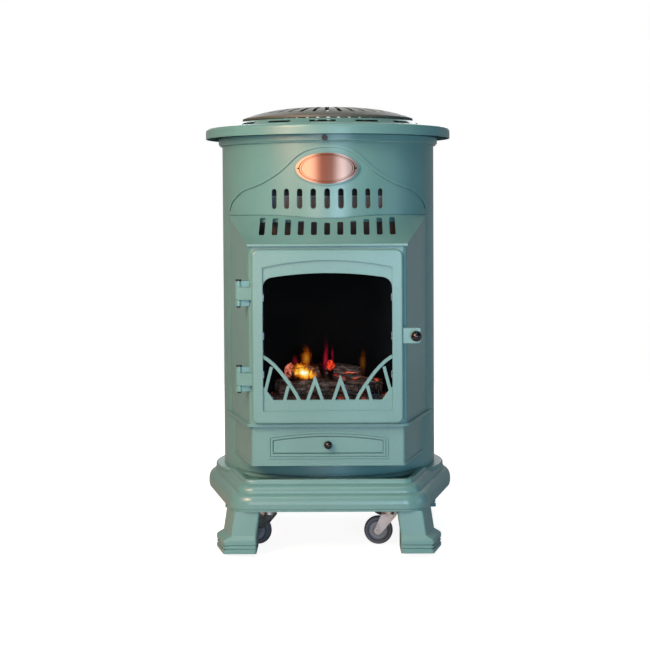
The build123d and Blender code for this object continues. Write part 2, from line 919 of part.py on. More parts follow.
def bead_outline():
    inner = inset(crest_line, crest_bead_width)
    inner[0] = (inner[0][0], crest_line[0][1])
    inner[-1] = (inner[-1][0], crest_line[-1][1])
    with BuildSketch(facing(crest_plane_y)) as outline:
        with BuildLine():
            Spline(*crest_line)
            Line(crest_line[-1], inner[-1])
            Spline(*inner[::-1])
            Line(inner[0], crest_line[0])
        make_face()
    return outline.sketch


def oval(half_width, half_height):
    with BuildSketch(facing(crest_plane_y)) as outline:
        with Locations((0, plate_z)):
            Ellipse(half_width, half_height)
    return outline.sketch


crest_r = drum_r + crest_sheet
surround_r = crest_r + crest_bead_rise
slot_angles = [crest_slot_pitch * i for i in range(-4, 5)]
rivet_angle = degrees(asin((plate_half[0] - rivet_inset) / drum_r))
rivet_turns = (-rivet_angle, rivet_angle)
rivet_shank_r = rivet_r * 0.6
with BuildPart() as crest_panel:
    add(bent(crest_outline(), drum_r, crest_r))
    add(bent(bead_outline(), drum_r, surround_r))
    add(bent(oval(plate_half[0] + plate_surround, plate_half[1] + plate_surround), drum_r, surround_r))
    with BuildSketch(*[radial(a, drum_r - 6, crest_slot_z) for a in slot_angles]):
        SlotOverall(crest_slot_height, crest_slot_width, rotation=90)
    extrude(amount=14, mode=Mode.SUBTRACT)
    with BuildSketch(*[radial(a, surround_r - 4, plate_z) for a in rivet_turns]):
        Circle(rivet_shank_r)
    extrude(amount=6, mode=Mode.SUBTRACT)
save(crest_panel.part, "crest_panel")

with BuildPart() as nameplate:
    add(bent(oval(*plate_half), surround_r, surround_r + plate_thickness))
    with BuildSketch(*[radial(a, surround_r - 4, plate_z) for a in rivet_turns]):
        Circle(rivet_shank_r)
    extrude(amount=8, mode=Mode.SUBTRACT)
save(nameplate.part, "nameplate")

rivet_face = surround_r + plate_thickness + 0.02
with BuildPart() as badge_rivets:
    with BuildSketch(*[radial(a, surround_r - 1, plate_z) for a in rivet_turns]):
        Circle(rivet_shank_r)
    extrude(amount=plate_thickness + 1.2)
    with BuildSketch(*[radial(a, rivet_face, plate_z) for a in rivet_turns]):
        Circle(rivet_r)
    extrude(amount=rivet_head, taper=25)
save(badge_rivets.part, "badge_rivets")


# ======== hood ========
def hood_face(drop, reach=1.0):
    """Ruled sheet from the straight front lip to the drum, lowered by a drop.

    A reach over 1 carries it on into the drum."""
    a = radians(hood_end_angle)
    lip_y = DRUM_Y + hood_lip_y
    head = []
    for step in [i / 12 for i in range(-12, 13)]:
        x = drum_r * sin(a * step)
        start = Vector(hood_lip_half * step, lip_y, hood_lip_z - drop)
        end = Vector(x, DRUM_Y - drum_r * cos(a * step), hood_head_z(x) - drop)
        head.append(start + (end - start) * reach)
    lip = Edge.make_line(
        (-hood_lip_half, lip_y, hood_lip_z - drop), (hood_lip_half, lip_y, hood_lip_z - drop)
    )
    return Face.make_surface_from_curves(lip, Edge.make_spline(head))


with BuildPart() as hood:
    thicken(hood_face(hood_sheet), amount=hood_sheet, normal_override=(0, -0.4, 0.9))
    with BuildSketch(side(-hood_lip_half)) as lip_end:
        with Locations((hood_lip_y + hood_lip_depth / 3, hood_lip_z - hood_lip_height / 2)):
            RectangleRounded(hood_lip_depth, hood_lip_height, hood_lip_depth * 0.42)
    extrude(amount=2 * hood_lip_half)
    hood_slot_z = hood_lip_z + hood_slot_rise
    for i in range(hood_slot_count):
        x = hood_slot_pitch * (i - (hood_slot_count - 1) / 2)
        slot_top = hood_head_z(x) - 7.5 + 4.0 * abs(x) / hood_lip_half
        with BuildSketch(facing(0)):
            with Locations((x, (hood_slot_z + slot_top) / 2)):
                RectangleRounded(hood_slot_width, slot_top - hood_slot_z, hood_slot_width * 0.22)
        extrude(amount=-hood_lip_y + 10, mode=Mode.SUBTRACT)
save(hood.part, "hood")

# ======== casings ========
casing_drum_x = drum_r * sin(radians(casing_drum_angle))
casing_drum_y = -drum_r * cos(radians(casing_drum_angle))
casing_slope = (casing_drum_x - casing_front_half) / (casing_drum_y - casing_front_y)


def casing_half(y, inset_by):
    """Half width of the casing at a depth, moved inwards from its outer skin."""
    return casing_front_half + casing_slope * (y - casing_front_y) - inset_by


def casing_plan(inset_by, corner):
    """Plan of the casing; it runs back inside the drum, which trims it."""
    front = casing_front_y + inset_by
    rear = casing_drum_y + 30
    with BuildSketch() as plan:
        with BuildLine():
            Polyline(
                (-casing_half(rear, inset_by), rear),
                (-casing_half(front, inset_by), front),
                (casing_half(front, inset_by), front),
                (casing_half(rear, inset_by), rear),
                close=True,
            )
        make_face()
        if corner:
            fillet(plan.vertices().group_by(Axis.Y)[0], corner)
    return plan.sketch_local


def casing_band(outer, inner, z, height, corner):
    """A band of the casing's plan between two offsets, outside the drum."""
    with BuildPart() as band:
        with BuildSketch(level(z)):
            add(casing_plan(outer, corner - outer))
            add(casing_plan(inner, max(corner - inner, 1.0)), mode=Mode.SUBTRACT)
            Circle(drum_r, mode=Mode.SUBTRACT)
        extrude(amount=height)
    return band.part


opening_bottom_z = window_bottom_z - glass_margin - opening_margin
opening_side_top_z = window_side_top_z + glass_margin + opening_margin
with BuildPart() as front_casing:
    add(casing_band(0, sheet, casing_bottom_z, hood_top_z + 30 - casing_bottom_z, casing_corner_r))
    extrude(hood_face(hood_sheet + 1.2, reach=1.06), amount=150, dir=(0, 0, 1), mode=Mode.SUBTRACT)
    add(casing_band(-ledge_outset, sheet, casing_bottom_z, ledge_height, casing_corner_r))
    add(casing_band(-ledge_outset + 1, lower_inset + sheet, casing_bottom_z, ledge_web, casing_corner_r))
    add(
        arched_solid(
            casing_front_y + 10 * sheet,
            20 * sheet,
            opening_half,
            opening_bottom_z,
            opening_side_top_z,
            window_arch,
        ),
        mode=Mode.SUBTRACT,
    )
save(front_casing.part, "front_casing")


def flap_shape(y, depth, grow):
    """The flap's arched outline, grown on all sides."""
    return arched_solid(
        y,
        depth,
        flap_half + grow,
        flap_bottom_z - grow,
        flap_side_top_z + grow,
        flap_arch,
        corner=max(grow, 0) * 0.7,
        foot=max(grow, 0) * 0.7,
    )


flap_front_y = lower_front_y - flap_inset
flap_axis_y = flap_front_y + flap_barrel_r
with BuildPart() as lower_casing:
    add(casing_band(lower_inset, lower_inset + sheet, lower_bottom_z, lower_height, casing_corner_r))
    add(casing_band(lower_inset - 1.2, lower_inset + sheet, lower_bottom_z, lower_hem, casing_corner_r))
    for grow in (frame_bead_outset, frame_bead_outset * 0.52):
        add(flap_shape(lower_front_y + 0.5, frame_bead_rise + 0.5, grow))
        inner_grow = grow - frame_bead_outset * 0.34
        add(flap_shape(lower_front_y, frame_bead_rise + 2, inner_grow), mode=Mode.SUBTRACT)
    with BuildSketch(facing(lower_front_y + sheet)):
        for sign in (-1, 1):
            with Locations((sign * (flap_half + flap_clear + ear_width / 2), flap_axis_z)):
                Rectangle(ear_width, ear_height)
    extrude(amount=-2 * flap_barrel_r)
    add(flap_shape(lower_front_y + 10 * sheet, 20 * sheet, flap_clear), mode=Mode.SUBTRACT)
    with BuildSketch(side(-flap_half - ear_width - 1)):
        with Locations((flap_axis_y, flap_axis_z)):
            Circle(flap_pin_r)
    extrude(amount=2 * (flap_half + ear_width + 1), mode=Mode.SUBTRACT)
save(lower_casing.part, "lower_casing")

# ======== door ========
with BuildPart() as door_frame:
    with BuildSketch(facing(door_rear_y)):
        with Locations((0, door_bottom_z + door_height / 2)):
            RectangleRounded(2 * door_half, door_height, door_corner_r)
    extrude(amount=door_thickness)
    fillet(door_frame.faces().sort_by(Axis.Y)[0].edges(), door_edge_r)
    add(
        arched_solid(
            door_front_y + recess_depth,
            recess_depth + 5,
            recess_half,
            recess_bottom_z,
            recess_side_top_z,
            recess_arch,
            foot=recess_foot_r,
        ),
        mode=Mode.SUBTRACT,
    )
    add(
        arched_solid(
            door_rear_y + 5,
            door_thickness + 10,
            recess_half,
            window_bottom_z,
            window_side_top_z,
            window_arch,
            corner=window_corner_r,
        ),
        mode=Mode.SUBTRACT,
    )
    for z in hinge_z:
        with BuildSketch(level(z - hinge_arm_height / 2)):
            with BuildLine():
                Polyline(
                    (hinge_x, hinge_y - hinge_barrel_r),
                    (-door_half, door_front_y + door_edge_r + 0.1),
                    (-door_half, door_rear_y),
                    (hinge_x + hinge_barrel_r * 0.8, hinge_y),
                    (hinge_x, hinge_y),
                    close=True,
                )
            make_face()
            with Locations((hinge_x, hinge_y)):
                Circle(hinge_barrel_r)
                Circle(hinge_pin_r + running, mode=Mode.SUBTRACT)
        extrude(amount=hinge_arm_height)
save(door_frame.part, "door_frame")

fret_curve = [(1.0, 75.0), (0.822, 59.8), (0.595, 28.7), (0.51, 14.8), (0.436, -1.0)]
fret_bars = [
    [(0.868, 57.5), (0.961, 18.5)],
    [(0.611, 25.5), (0.672, -1.0)],
    [(0.078, -1.0), (0.196, 36.0), (0.318, -1.0)],
]
with BuildPart() as door_fret:
    with BuildSketch(facing(door_front_y + recess_depth + fret_thickness)) as fret_plan:
        with BuildLine() as fret_lines:
            for sign in (-1, 1):
                Spline(*[(sign * recess_half * x, window_bottom_z + z) for x, z in fret_curve])
                for bar in fret_bars:
                    Polyline(*[(sign * recess_half * x, window_bottom_z + z) for x, z in bar])
        trace(line_width=fret_bar)
        with Locations((0, window_bottom_z + 1.0)):
            Rectangle(2 * recess_half, 2.0)
        for sign in (-1, 1):
            with BuildLine():
                Polyline(
                    *[
                        (sign * recess_half * x, window_bottom_z + z)
                        for x, z in [(1, 0), (1, 24.0), (0.955, 19.5), (0.825, 0)]
                    ],
                    close=True,
                )
            make_face()
    extrude(amount=fret_thickness)
    add(
        arched_solid(
            door_rear_y + fret_thickness,
            2 * door_thickness,
            recess_half,
            window_bottom_z,
            window_side_top_z,
            window_arch,
        ),
        mode=Mode.INTERSECT,
    )
save(door_fret.part, "door_fret")

glass_bottom_z = window_bottom_z - glass_margin
glass_side_top_z = window_side_top_z + glass_margin
save(
    arched_solid(
        door_rear_y + glass_thickness,
        glass_thickness,
        glass_half,
        glass_bottom_z,
        glass_side_top_z,
        window_arch,
    ),
    "door_glass",
)

seal_thickness = door_gap - seat_gap


def seal_outline(y, depth, grow):
    """A plate of the casing's opening, grown on all sides."""
    return arched_solid(
        y, depth, opening_half + grow, opening_bottom_z - grow, opening_side_top_z + grow, window_arch
    )


with BuildPart() as door_seal:
    add(seal_outline(door_rear_y + seal_thickness, seal_thickness, seal_gap + seal_width))
    add(seal_outline(door_rear_y + 2 * seal_thickness, 4 * seal_thickness, seal_gap), mode=Mode.SUBTRACT)
save(door_seal.part, "door_seal")

clip_heights = [glass_bottom_z + share * (glass_side_top_z - glass_bottom_z) for share in (0.2, 0.5, 0.8)]
clip_y = door_rear_y + glass_thickness
clip_inner = glass_half + 0.2
with BuildPart() as glass_clips:
    for sign in (-1, 1):
        for z in clip_heights:
            with BuildSketch(level(z)):
                with BuildLine():
                    Polyline(
                        (sign * (glass_half - clip_lap), clip_y),
                        (sign * clip_inner, clip_y),
                        (sign * clip_inner, door_rear_y),
                        (sign * (clip_inner + clip_sheet), door_rear_y),
                        (sign * (clip_inner + clip_sheet), clip_y + clip_sheet),
                        (sign * (glass_half - clip_lap), clip_y + clip_sheet),
                        close=True,
                    )
                make_face()
            extrude(amount=clip_height)
save(glass_clips.part, "glass_clips")

lug_rear_y = casing_front_y + 11 * sheet
with BuildPart() as hinge_lugs:
    for z in hinge_z:
        lug_foot = hinge_arm_height / 2 + lug_gap
        for low in (z - lug_foot - hinge_lug_height, z + lug_foot):
            with BuildSketch(level(low)):
                with BuildLine():
                    Polyline(
                        (hinge_x, hinge_y),
                        (hinge_x + hinge_barrel_r / 3, hinge_y - hinge_barrel_r * 0.7),
                        (-casing_half(casing_front_y, sheet), casing_front_y + sheet),
                        (-casing_half(lug_rear_y, sheet / 2), lug_rear_y),
                        (hinge_x - 1, hinge_y + hinge_barrel_r * 0.9),
                        close=True,
                    )
                make_face()
                with Locations((hinge_x, hinge_y)):
                    Circle(hinge_barrel_r)
                add(casing_plan(0, casing_corner_r), mode=Mode.SUBTRACT)
                with Locations((hinge_x, hinge_y)):
                    Circle(hinge_pin_r, mode=Mode.SUBTRACT)
            extrude(amount=hinge_lug_height)
save(hinge_lugs.part, "hinge_lugs")

pin_half = hinge_arm_height / 2 + lug_gap + hinge_lug_height
with BuildPart() as hinge_pins:
    for z in hinge_z:
        with BuildSketch(level(z - pin_half - hinge_pin_head)):
            with Locations((hinge_x, hinge_y)):
                Circle(hinge_pin_r)
        extrude(amount=2 * pin_half + hinge_pin_head)
        with BuildSketch(level(z + pin_half)):
            with Locations((hinge_x, hinge_y)):
                Circle(hinge_pin_r * 1.6)
        extrude(amount=hinge_pin_head)
save(hinge_pins.part, "hinge_pins")

tab_long, tab_thick, tab_tall = latch_tab_size
with BuildPart() as latch_tab:
    with BuildSketch(facing(latch_face_y + tab_thick)) as tab_plan:
        with Locations((door_half + tab_long / 2, latch_z)):
            Rectangle(tab_long, tab_tall)
        fillet(tab_plan.vertices().sort_by(Axis.X)[-2:], 4)
    extrude(amount=tab_thick)
    fillet(latch_tab.faces().sort_by(Axis.Y)[0].edges().filter_by(Axis.X), 1.5)
save(latch_tab.part, "latch_tab")


def ball_knob(x, z, face_y, neck, radius, neck_r):
    """A ball on a short neck that stands on a face towards the front."""
    centre_y = face_y - neck - radius + knob_sink
    with BuildPart() as knob:
        with BuildSketch(facing(face_y)):
            with Locations((x, z)):
                Circle(neck_r)
        extrude(amount=neck + radius - knob_sink)
        with Locations((x, DRUM_Y + centre_y, z)):
            Sphere(radius)
    return knob.part


save(ball_knob(latch_knob_x, latch_z, latch_face_y, knob_neck, latch_knob_r, knob_neck_r), "latch_knob")

with BuildPart() as door_catch:
    with BuildSketch(facing(casing_front_y + casing_corner_r)):
        with Locations((casing_front_half - 1, latch_z)):
            Rectangle(catch_width, catch_height)
    extrude(amount=casing_corner_r + casing_front_y - latch_face_y - tab_thick - seat_gap)
    with BuildSketch(level(latch_z - catch_height)):
        add(casing_plan(0, casing_corner_r))
    extrude(amount=2 * catch_height, mode=Mode.SUBTRACT)
save(door_catch.part, "door_catch")

# ======== control flap ========
with BuildPart() as control_flap:
    add(
        arched_solid(
            flap_front_y + flap_thickness,
            flap_thickness,
            flap_half,
            flap_axis_z,
            flap_side_top_z,
            flap_arch,
        )
    )
    with BuildSketch(side(-flap_half)):
        with Locations((flap_axis_y, flap_axis_z)):
            Circle(flap_barrel_r)
    extrude(amount=2 * flap_half)
    with BuildSketch(side(-flap_half)):
        with Locations((flap_axis_y, flap_axis_z)):
            Circle(flap_pin_r + running)
    extrude(amount=2 * flap_half, mode=Mode.SUBTRACT)
save(control_flap.part, "control_flap")

with BuildPart() as flap_hinge_pin:
    with BuildSketch(side(-flap_half - ear_width)):
        with Locations((flap_axis_y, flap_axis_z)):
            Circle(flap_pin_r)
    extrude(amount=2 * (flap_half + ear_width))
save(flap_hinge_pin.part, "flap_hinge_pin")

save(ball_knob(0, control_z, flap_front_y, flap_neck, flap_knob_r, flap_neck_r), "flap_knob")

# ======== gas controls ========
panel_half = casing_half(panel_y, lower_inset + sheet)
with BuildPart() as control_panel:
    with BuildSketch(facing(panel_y + panel_sheet)):
        with Locations((0, (lower_bottom_z + casing_bottom_z) / 2)):
            Rectangle(2 * panel_half, lower_height - 2 * panel_margin)
        with Locations((valve_x, control_z)):
            Circle(spindle_r + valve_collar, mode=Mode.SUBTRACT)
        with Locations((igniter_x, control_z)):
            Circle(igniter_r + igniter_wall, mode=Mode.SUBTRACT)
    extrude(amount=panel_sheet)
save(control_panel.part, "control_panel")

valve_rear_y = panel_y + valve_depth
with BuildPart() as valve_body:
    with BuildSketch(facing(valve_rear_y)):
        with Locations((valve_x, control_z)):
            RectangleRounded(*valve_size, 3)
    extrude(amount=valve_rear_y - panel_y - panel_sheet)
    with BuildSketch(facing(panel_y + panel_sheet)):
        with Locations((valve_x, control_z)):
            Circle(spindle_r + valve_collar)
    extrude(amount=panel_sheet + 1)
    with BuildSketch(facing(panel_y + valve_bore)):
        with Locations((valve_x, control_z)):
            Circle(spindle_r + running)
    extrude(amount=valve_depth, mode=Mode.SUBTRACT)
save(valve_body.part, "valve_body")

knob_front_y = lower_front_y + control_knob_front
spindle_front_y = knob_front_y + control_knob_face
with BuildPart() as valve_spindle:
    with BuildSketch(facing(panel_y + spindle_inside)):
        with Locations((valve_x, control_z)):
            Circle(spindle_r)
    extrude(amount=spindle_inside + panel_y - spindle_front_y)
save(valve_spindle.part, "valve_spindle")

with BuildPart() as control_knob:
    with BuildSketch(facing(knob_front_y + control_knob_depth)):
        with Locations((valve_x, control_z)):
            Circle(control_knob_r)
    extrude(amount=control_knob_depth)
    fillet(control_knob.edges().sort_by(Axis.Y)[0], 1.5)
    with BuildSketch(facing(knob_front_y + control_knob_depth)):
        with Locations((valve_x, control_z)):
            Circle(spindle_r + running)
    extrude(amount=control_knob_depth - control_knob_face + seat_gap, mode=Mode.SUBTRACT)
    with BuildSketch(facing(knob_front_y)):
        with Locations((valve_x, control_z)):
            Rectangle(pointer_width, 2 * (control_knob_r - pointer_width))
    extrude(amount=pointer_rise)
save(control_knob.part, "control_knob")

button_front_y = lower_front_y + igniter_button_front
with BuildPart() as igniter_housing:
    with BuildSketch(facing(panel_y + igniter_inside)):
        with Locations((igniter_x, control_z)):
            Circle(igniter_r + igniter_wall)
    extrude(amount=igniter_inside + igniter_bezel)
    with BuildSketch(facing(panel_y + igniter_bore)):
        with Locations((igniter_x, control_z)):
            Circle(igniter_r + running)
    extrude(amount=igniter_bore + 2 * igniter_bezel, mode=Mode.SUBTRACT)
save(igniter_housing.part, "igniter_housing")

with BuildPart() as igniter_button:
    with BuildSketch(facing(panel_y + igniter_button_inside)):
        with Locations((igniter_x, control_z)):
            Circle(igniter_r)
    extrude(amount=igniter_button_inside + panel_y - button_front_y)
    fillet(igniter_button.edges().sort_by(Axis.Y)[0], 1.0)
save(igniter_button.part, "igniter_button")

pipe_y = panel_y + pipe_setback
with BuildPart() as gas_pipe:
    with BuildLine() as pipe_route:
        FilletPolyline(
            (valve_x - valve_size[0] / 2, DRUM_Y + pipe_y, control_z),
            (tail_x, DRUM_Y + pipe_y, control_z),
            (tail_x, DRUM_Y + tail_y, control_z),
            radius=pipe_bend_r,
        )
    with BuildSketch(Plane(origin=pipe_route.line @ 0, z_dir=pipe_route.line % 0)):
        Circle(pipe_r)
    sweep()
save(gas_pipe.part, "gas_pipe")

with BuildPart() as hose_tail:
    with BuildSketch(facing(tail_y)):
        with Locations((tail_x, control_z)):
            RegularPolygon(tail_nut_r, 6)
    extrude(amount=-tail_nut)
    with BuildSketch(facing(tail_y + tail_nut)):
        with Locations((tail_x, control_z)):
            Circle(tail_r)
    extrude(amount=-tail_length)
save(hose_tail.part, "hose_tail")

# ======== firebox ========
firebox_front_y = casing_front_y + sheet
firebox_depth = firebox_rear_y - firebox_front_y
firebox_mid_z = (firebox_bottom_z + firebox_top_z) / 2
with BuildPart() as firebox_liner:
    with BuildSketch(facing(firebox_rear_y)):
        with Locations((0, firebox_mid_z)):
            Rectangle(2 * firebox_half, firebox_top_z - firebox_bottom_z)
    extrude(amount=firebox_depth)
    with BuildSketch(facing(firebox_rear_y - firebox_sheet)):
        with Locations((0, firebox_mid_z)):
            Rectangle(
                2 * (firebox_half - firebox_sheet), firebox_top_z - firebox_bottom_z - 2 * firebox_sheet
            )
    extrude(amount=firebox_depth, mode=Mode.SUBTRACT)
save(firebox_liner.part, "firebox_liner")

shield_half = sqrt(drum_inner_r**2 - shield_y**2)
with BuildPart() as heat_shield:
    with BuildSketch(facing(shield_y + shield_sheet)):
        with Locations((0, (drum_foot_z + cover_top_z) / 2)):
            Rectangle(2 * shield_half, cover_top_z - drum_foot_z)
        with Locations((tail_x, control_z)):
            Circle(pipe_r, mode=Mode.SUBTRACT)
    extrude(amount=shield_sheet)
save(heat_shield.part, "heat_shield")

tray_half = firebox_half - tray_side_room
tray_front_y = casing_front_y + tray_front_room
tray_floor_z = firebox_bottom_z + firebox_sheet
tray_mid_y = tray_front_y + tray_depth / 2
with BuildPart() as burner_tray:
    with BuildSketch(level(tray_floor_z)):
        with Locations((0, tray_mid_y)):
            Rectangle(2 * tray_half, tray_depth)
    extrude(amount=tray_height)
    with BuildSketch(level(tray_floor_z + tray_sheet)):
        with Locations((0, tray_mid_y)):
            Rectangle(2 * (tray_half - tray_sheet), tray_depth - 2 * tray_sheet)
    extrude(amount=tray_height, mode=Mode.SUBTRACT)
save(burner_tray.part, "burner_tray")

burner_z = tray_floor_z + tray_sheet + burner_r
burner_spots = [(tray_mid_y + share * burner_spacing, burner_z) for share in (-0.5, 0.5)]
with BuildPart() as burner_tubes:
    with BuildSketch(side(-tray_half + tray_sheet)):
        with Locations(*burner_spots):
            Circle(burner_r)
            Circle(burner_r - burner_wall, mode=Mode.SUBTRACT)
    extrude(amount=2 * (tray_half - tray_sheet))
save(burner_tubes.part, "burner_tubes")

bed_z = tray_floor_z + tray_height
bed_top_z = bed_z + bed_height
with BuildPart() as ember_bed:
    with BuildSketch(level(bed_z)):
        with Locations((0, tray_mid_y)):
            Rectangle(2 * tray_half, tray_depth)
    with BuildSketch(level(bed_top_z)):
        with Locations((0, tray_mid_y)):
            RectangleRounded(2 * tray_half - 14, tray_depth - 12, 8)
    loft()
save(ember_bed.part, "ember_bed")


def log(stations):
    """A log lofted through rings of (share of the tray, depth, lift over the embers, radius)."""
    with BuildPart() as piece:
        for i, (share, depth, lift, radius) in enumerate(stations):
            half_height = radius * (0.86 + 0.05 * (i % 3))
            with BuildSketch(side(share * tray_half)):
                with Locations((tray_mid_y + depth, bed_top_z + lift + half_height)):
                    Ellipse(radius, half_height)
        loft()
    return piece.part


front_log = [
    (-0.81, -22, 1.0, 11),
    (-0.48, -18, 0.4, 14),
    (-0.12, -14, 0.3, 15),
    (0.25, -17, 0.4, 13),
    (0.50, -21, 1.0, 11),
]
back_log_low = [
    (-0.885, 18, 1.0, 13),
    (-0.53, 20, 0.4, 17),
    (-0.10, 22, 0.3, 16),
    (0.385, 20, 0.4, 17),
    (0.90, 16, 1.0, 13),
]
back_log_high = [
    (-0.60, 6, 30.3, 9),
    (-0.27, 10, 30.5, 12),
    (0.155, 14, 29.9, 12),
    (0.56, 16, 29.7, 9),
]
save(log(front_log), "log_front")
with BuildPart() as log_back:
    add(log(back_log_low))
    add(log(back_log_high))
save(log_back.part, "log_back")

pilot_y = tray_front_y + pilot_inset
pilot_rods = ((-8, 3.0, 16), (1, 1.6, 22), (8, 2.2, 19))
with BuildPart() as pilot_assembly:
    with Locations((pilot_x, DRUM_Y + pilot_y, bed_top_z + 2)):
        Box(26, 8, 4)
    for offset_x, radius, height in pilot_rods:
        with Locations((pilot_x + offset_x, DRUM_Y + pilot_y, bed_top_z)):
            Cylinder(radius, height, align=(Align.CENTER, Align.CENTER, Align.MIN))
save(pilot_assembly.part, "pilot_assembly")

# ======== rear cover ========
cover_r = drum_r + seat_gap
cover_bottom_z = plinth_top_z + seat_gap
cover_height = cover_top_z - cover_bottom_z
far_x = 4 * drum_r * sin(radians(cover_half_angle))
far_y = 4 * drum_r * cos(radians(cover_half_angle))
vent_turns = [180 + cover_slot_pitch * i for i in range(-4, 5)]
vent_levels = (cover_bottom_z + 60, cover_top_z - 3 * cover_grip_drop)
with BuildPart() as rear_cover:
    with BuildSketch(level(cover_bottom_z)):
        with BuildLine():
            Polyline((0, 0), (far_x, far_y), (-far_x, far_y), close=True)
        make_face()
        Circle(cover_r + cover_sheet, mode=Mode.INTERSECT)
        Circle(cover_r, mode=Mode.SUBTRACT)
    extrude(amount=cover_height)
    with BuildSketch(*[radial(a, cover_r - 5, z) for a in vent_turns for z in vent_levels]):
        SlotOverall(*cover_slot, rotation=90)
    extrude(amount=12, mode=Mode.SUBTRACT)
    with BuildSketch(radial(180, cover_r - 8, cover_top_z - cover_grip_drop)):
        SlotOverall(*cover_grip)
    extrude(amount=16, mode=Mode.SUBTRACT)
save(rear_cover.part, "rear_cover")
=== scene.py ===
from math import cos, pi, radians, sin

import bmesh
import bpy
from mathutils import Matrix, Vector, noise


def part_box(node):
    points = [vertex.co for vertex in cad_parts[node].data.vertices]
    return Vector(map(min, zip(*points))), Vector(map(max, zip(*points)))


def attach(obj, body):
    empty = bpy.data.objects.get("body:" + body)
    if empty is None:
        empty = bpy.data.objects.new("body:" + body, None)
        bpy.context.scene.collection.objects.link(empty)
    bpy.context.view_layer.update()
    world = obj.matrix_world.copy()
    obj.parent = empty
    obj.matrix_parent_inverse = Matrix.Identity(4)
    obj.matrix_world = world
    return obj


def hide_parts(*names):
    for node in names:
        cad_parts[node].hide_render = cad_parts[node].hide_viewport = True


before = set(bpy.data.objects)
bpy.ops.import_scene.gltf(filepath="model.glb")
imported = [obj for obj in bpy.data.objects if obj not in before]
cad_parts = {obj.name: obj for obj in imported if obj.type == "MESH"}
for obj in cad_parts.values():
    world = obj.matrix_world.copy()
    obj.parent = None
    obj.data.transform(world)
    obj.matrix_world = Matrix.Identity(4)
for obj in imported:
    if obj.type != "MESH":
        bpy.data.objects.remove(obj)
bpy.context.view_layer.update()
mm = 0.001

# ======== Camera ========
# The heater is seen from about three metres away, from the height of its hood and from a hair to
# the right of the middle. The camera looks slightly down and the shift does the rest.
scene = bpy.context.scene
scene.view_settings.view_transform = "Standard"
drum_y = 0.033
view_distance = 2.945
view_height = 0.5785
view_yaw = radians(0.5)
view_lean = radians(0.33)
view_tilt = radians(2.5)
camera = bpy.data.objects.new("camera", bpy.data.cameras.new("camera"))
scene.collection.objects.link(camera)
scene.camera = camera
camera.data.sensor_width = 36.0
camera.data.lens = 88.95
camera.data.shift_x = -0.0049
camera.data.shift_y = -0.0648
camera.location = (
    view_distance * sin(view_yaw),
    drum_y - view_distance * cos(view_yaw),
    view_height,
)
camera.rotation_euler = (radians(90) - view_tilt, view_lean, view_yaw)


# ======== Studio floor and light ========
# A white sweep: the floor keeps a soft shadow and otherwise reads as white. Two warm softboxes
# stand on the left, a cool one in front, and weaker ones light the top, the right and the back.
def linear(colour):
    """An sRGB hex colour as linear red, green, blue and one."""
    parts = [int(colour[i : i + 2], 16) / 255 for i in (1, 3, 5)]
    return (*[c / 12.92 if c <= 0.04045 else ((c + 0.055) / 1.055) ** 2.4 for c in parts], 1.0)


def add(tree, kind, values=None, links=None, **settings):
    """Adds one node with its settings, input values and links, and returns it."""
    node = tree.nodes.new(kind)
    for key, value in settings.items():
        setattr(node, key, value)
    for socket, value in (values or {}).items():
        node.inputs[socket].default_value = value
    for socket, source in (links or {}).items():
        tree.links.new(source, node.inputs[socket])
    return node


def maths(tree, operation, *terms):
    """The result of a sum on sockets and plain numbers."""
    node = add(tree, "ShaderNodeMath", operation=operation)
    for socket, term in zip(node.inputs, terms):
        if isinstance(term, bpy.types.NodeSocket):
            tree.links.new(term, socket)
        else:
            socket.default_value = term
    return node.outputs[0]


def ranged(tree, value, low, high, start=0.0, end=1.0, **settings):
    """A value that runs from low to high while the given one runs from start to end."""
    limits = {"From Min": start, "From Max": end, "To Min": low, "To Max": high}
    return add(tree, "ShaderNodeMapRange", limits, {"Value": value}, **settings).outputs[0]


# The room is dim for the lamps' sake, dimmer in reflections, and white where the camera or a
# reflection of what lies behind the heater meets it.
room_strength = 0.11
room_strength_in_gloss = 0.02
world = bpy.data.worlds.new("studio")
scene.world = world
world.use_nodes = True
world_tree = world.node_tree
world_tree.nodes.clear()
ray = add(world_tree, "ShaderNodeLightPath").outputs
sweep_side = add(world_tree, "ShaderNodeTexCoord").outputs["Generated"]
sweep_axes = add(world_tree, "ShaderNodeSeparateXYZ", links={0: sweep_side}).outputs
clear_view = maths(world_tree, "MAXIMUM", ray["Is Camera Ray"], ray["Is Transmission Ray"])
behind = ranged(world_tree, sweep_axes["Y"], 0.0, 0.3, 0.1, 1.0)
gloss_view = maths(world_tree, "MULTIPLY", ray["Is Glossy Ray"], behind)
seen = maths(world_tree, "MAXIMUM", clear_view, gloss_view)
room_level = ranged(world_tree, ray["Is Glossy Ray"], room_strength, room_strength_in_gloss)
room_light = add(
    world_tree, "ShaderNodeBackground", {"Color": linear("#eef6fa")}, {"Strength": room_level}
)
white_sweep = add(world_tree, "ShaderNodeBackground", {"Color": (1, 1, 1, 1), "Strength": 1.0})
sweep_mix = add(
    world_tree,
    "ShaderNodeMixShader",
    links={0: seen, 1: room_light.outputs[0], 2: white_sweep.outputs[0]},
)
add(world_tree, "ShaderNodeOutputWorld", links={"Surface": sweep_mix.outputs[0]})

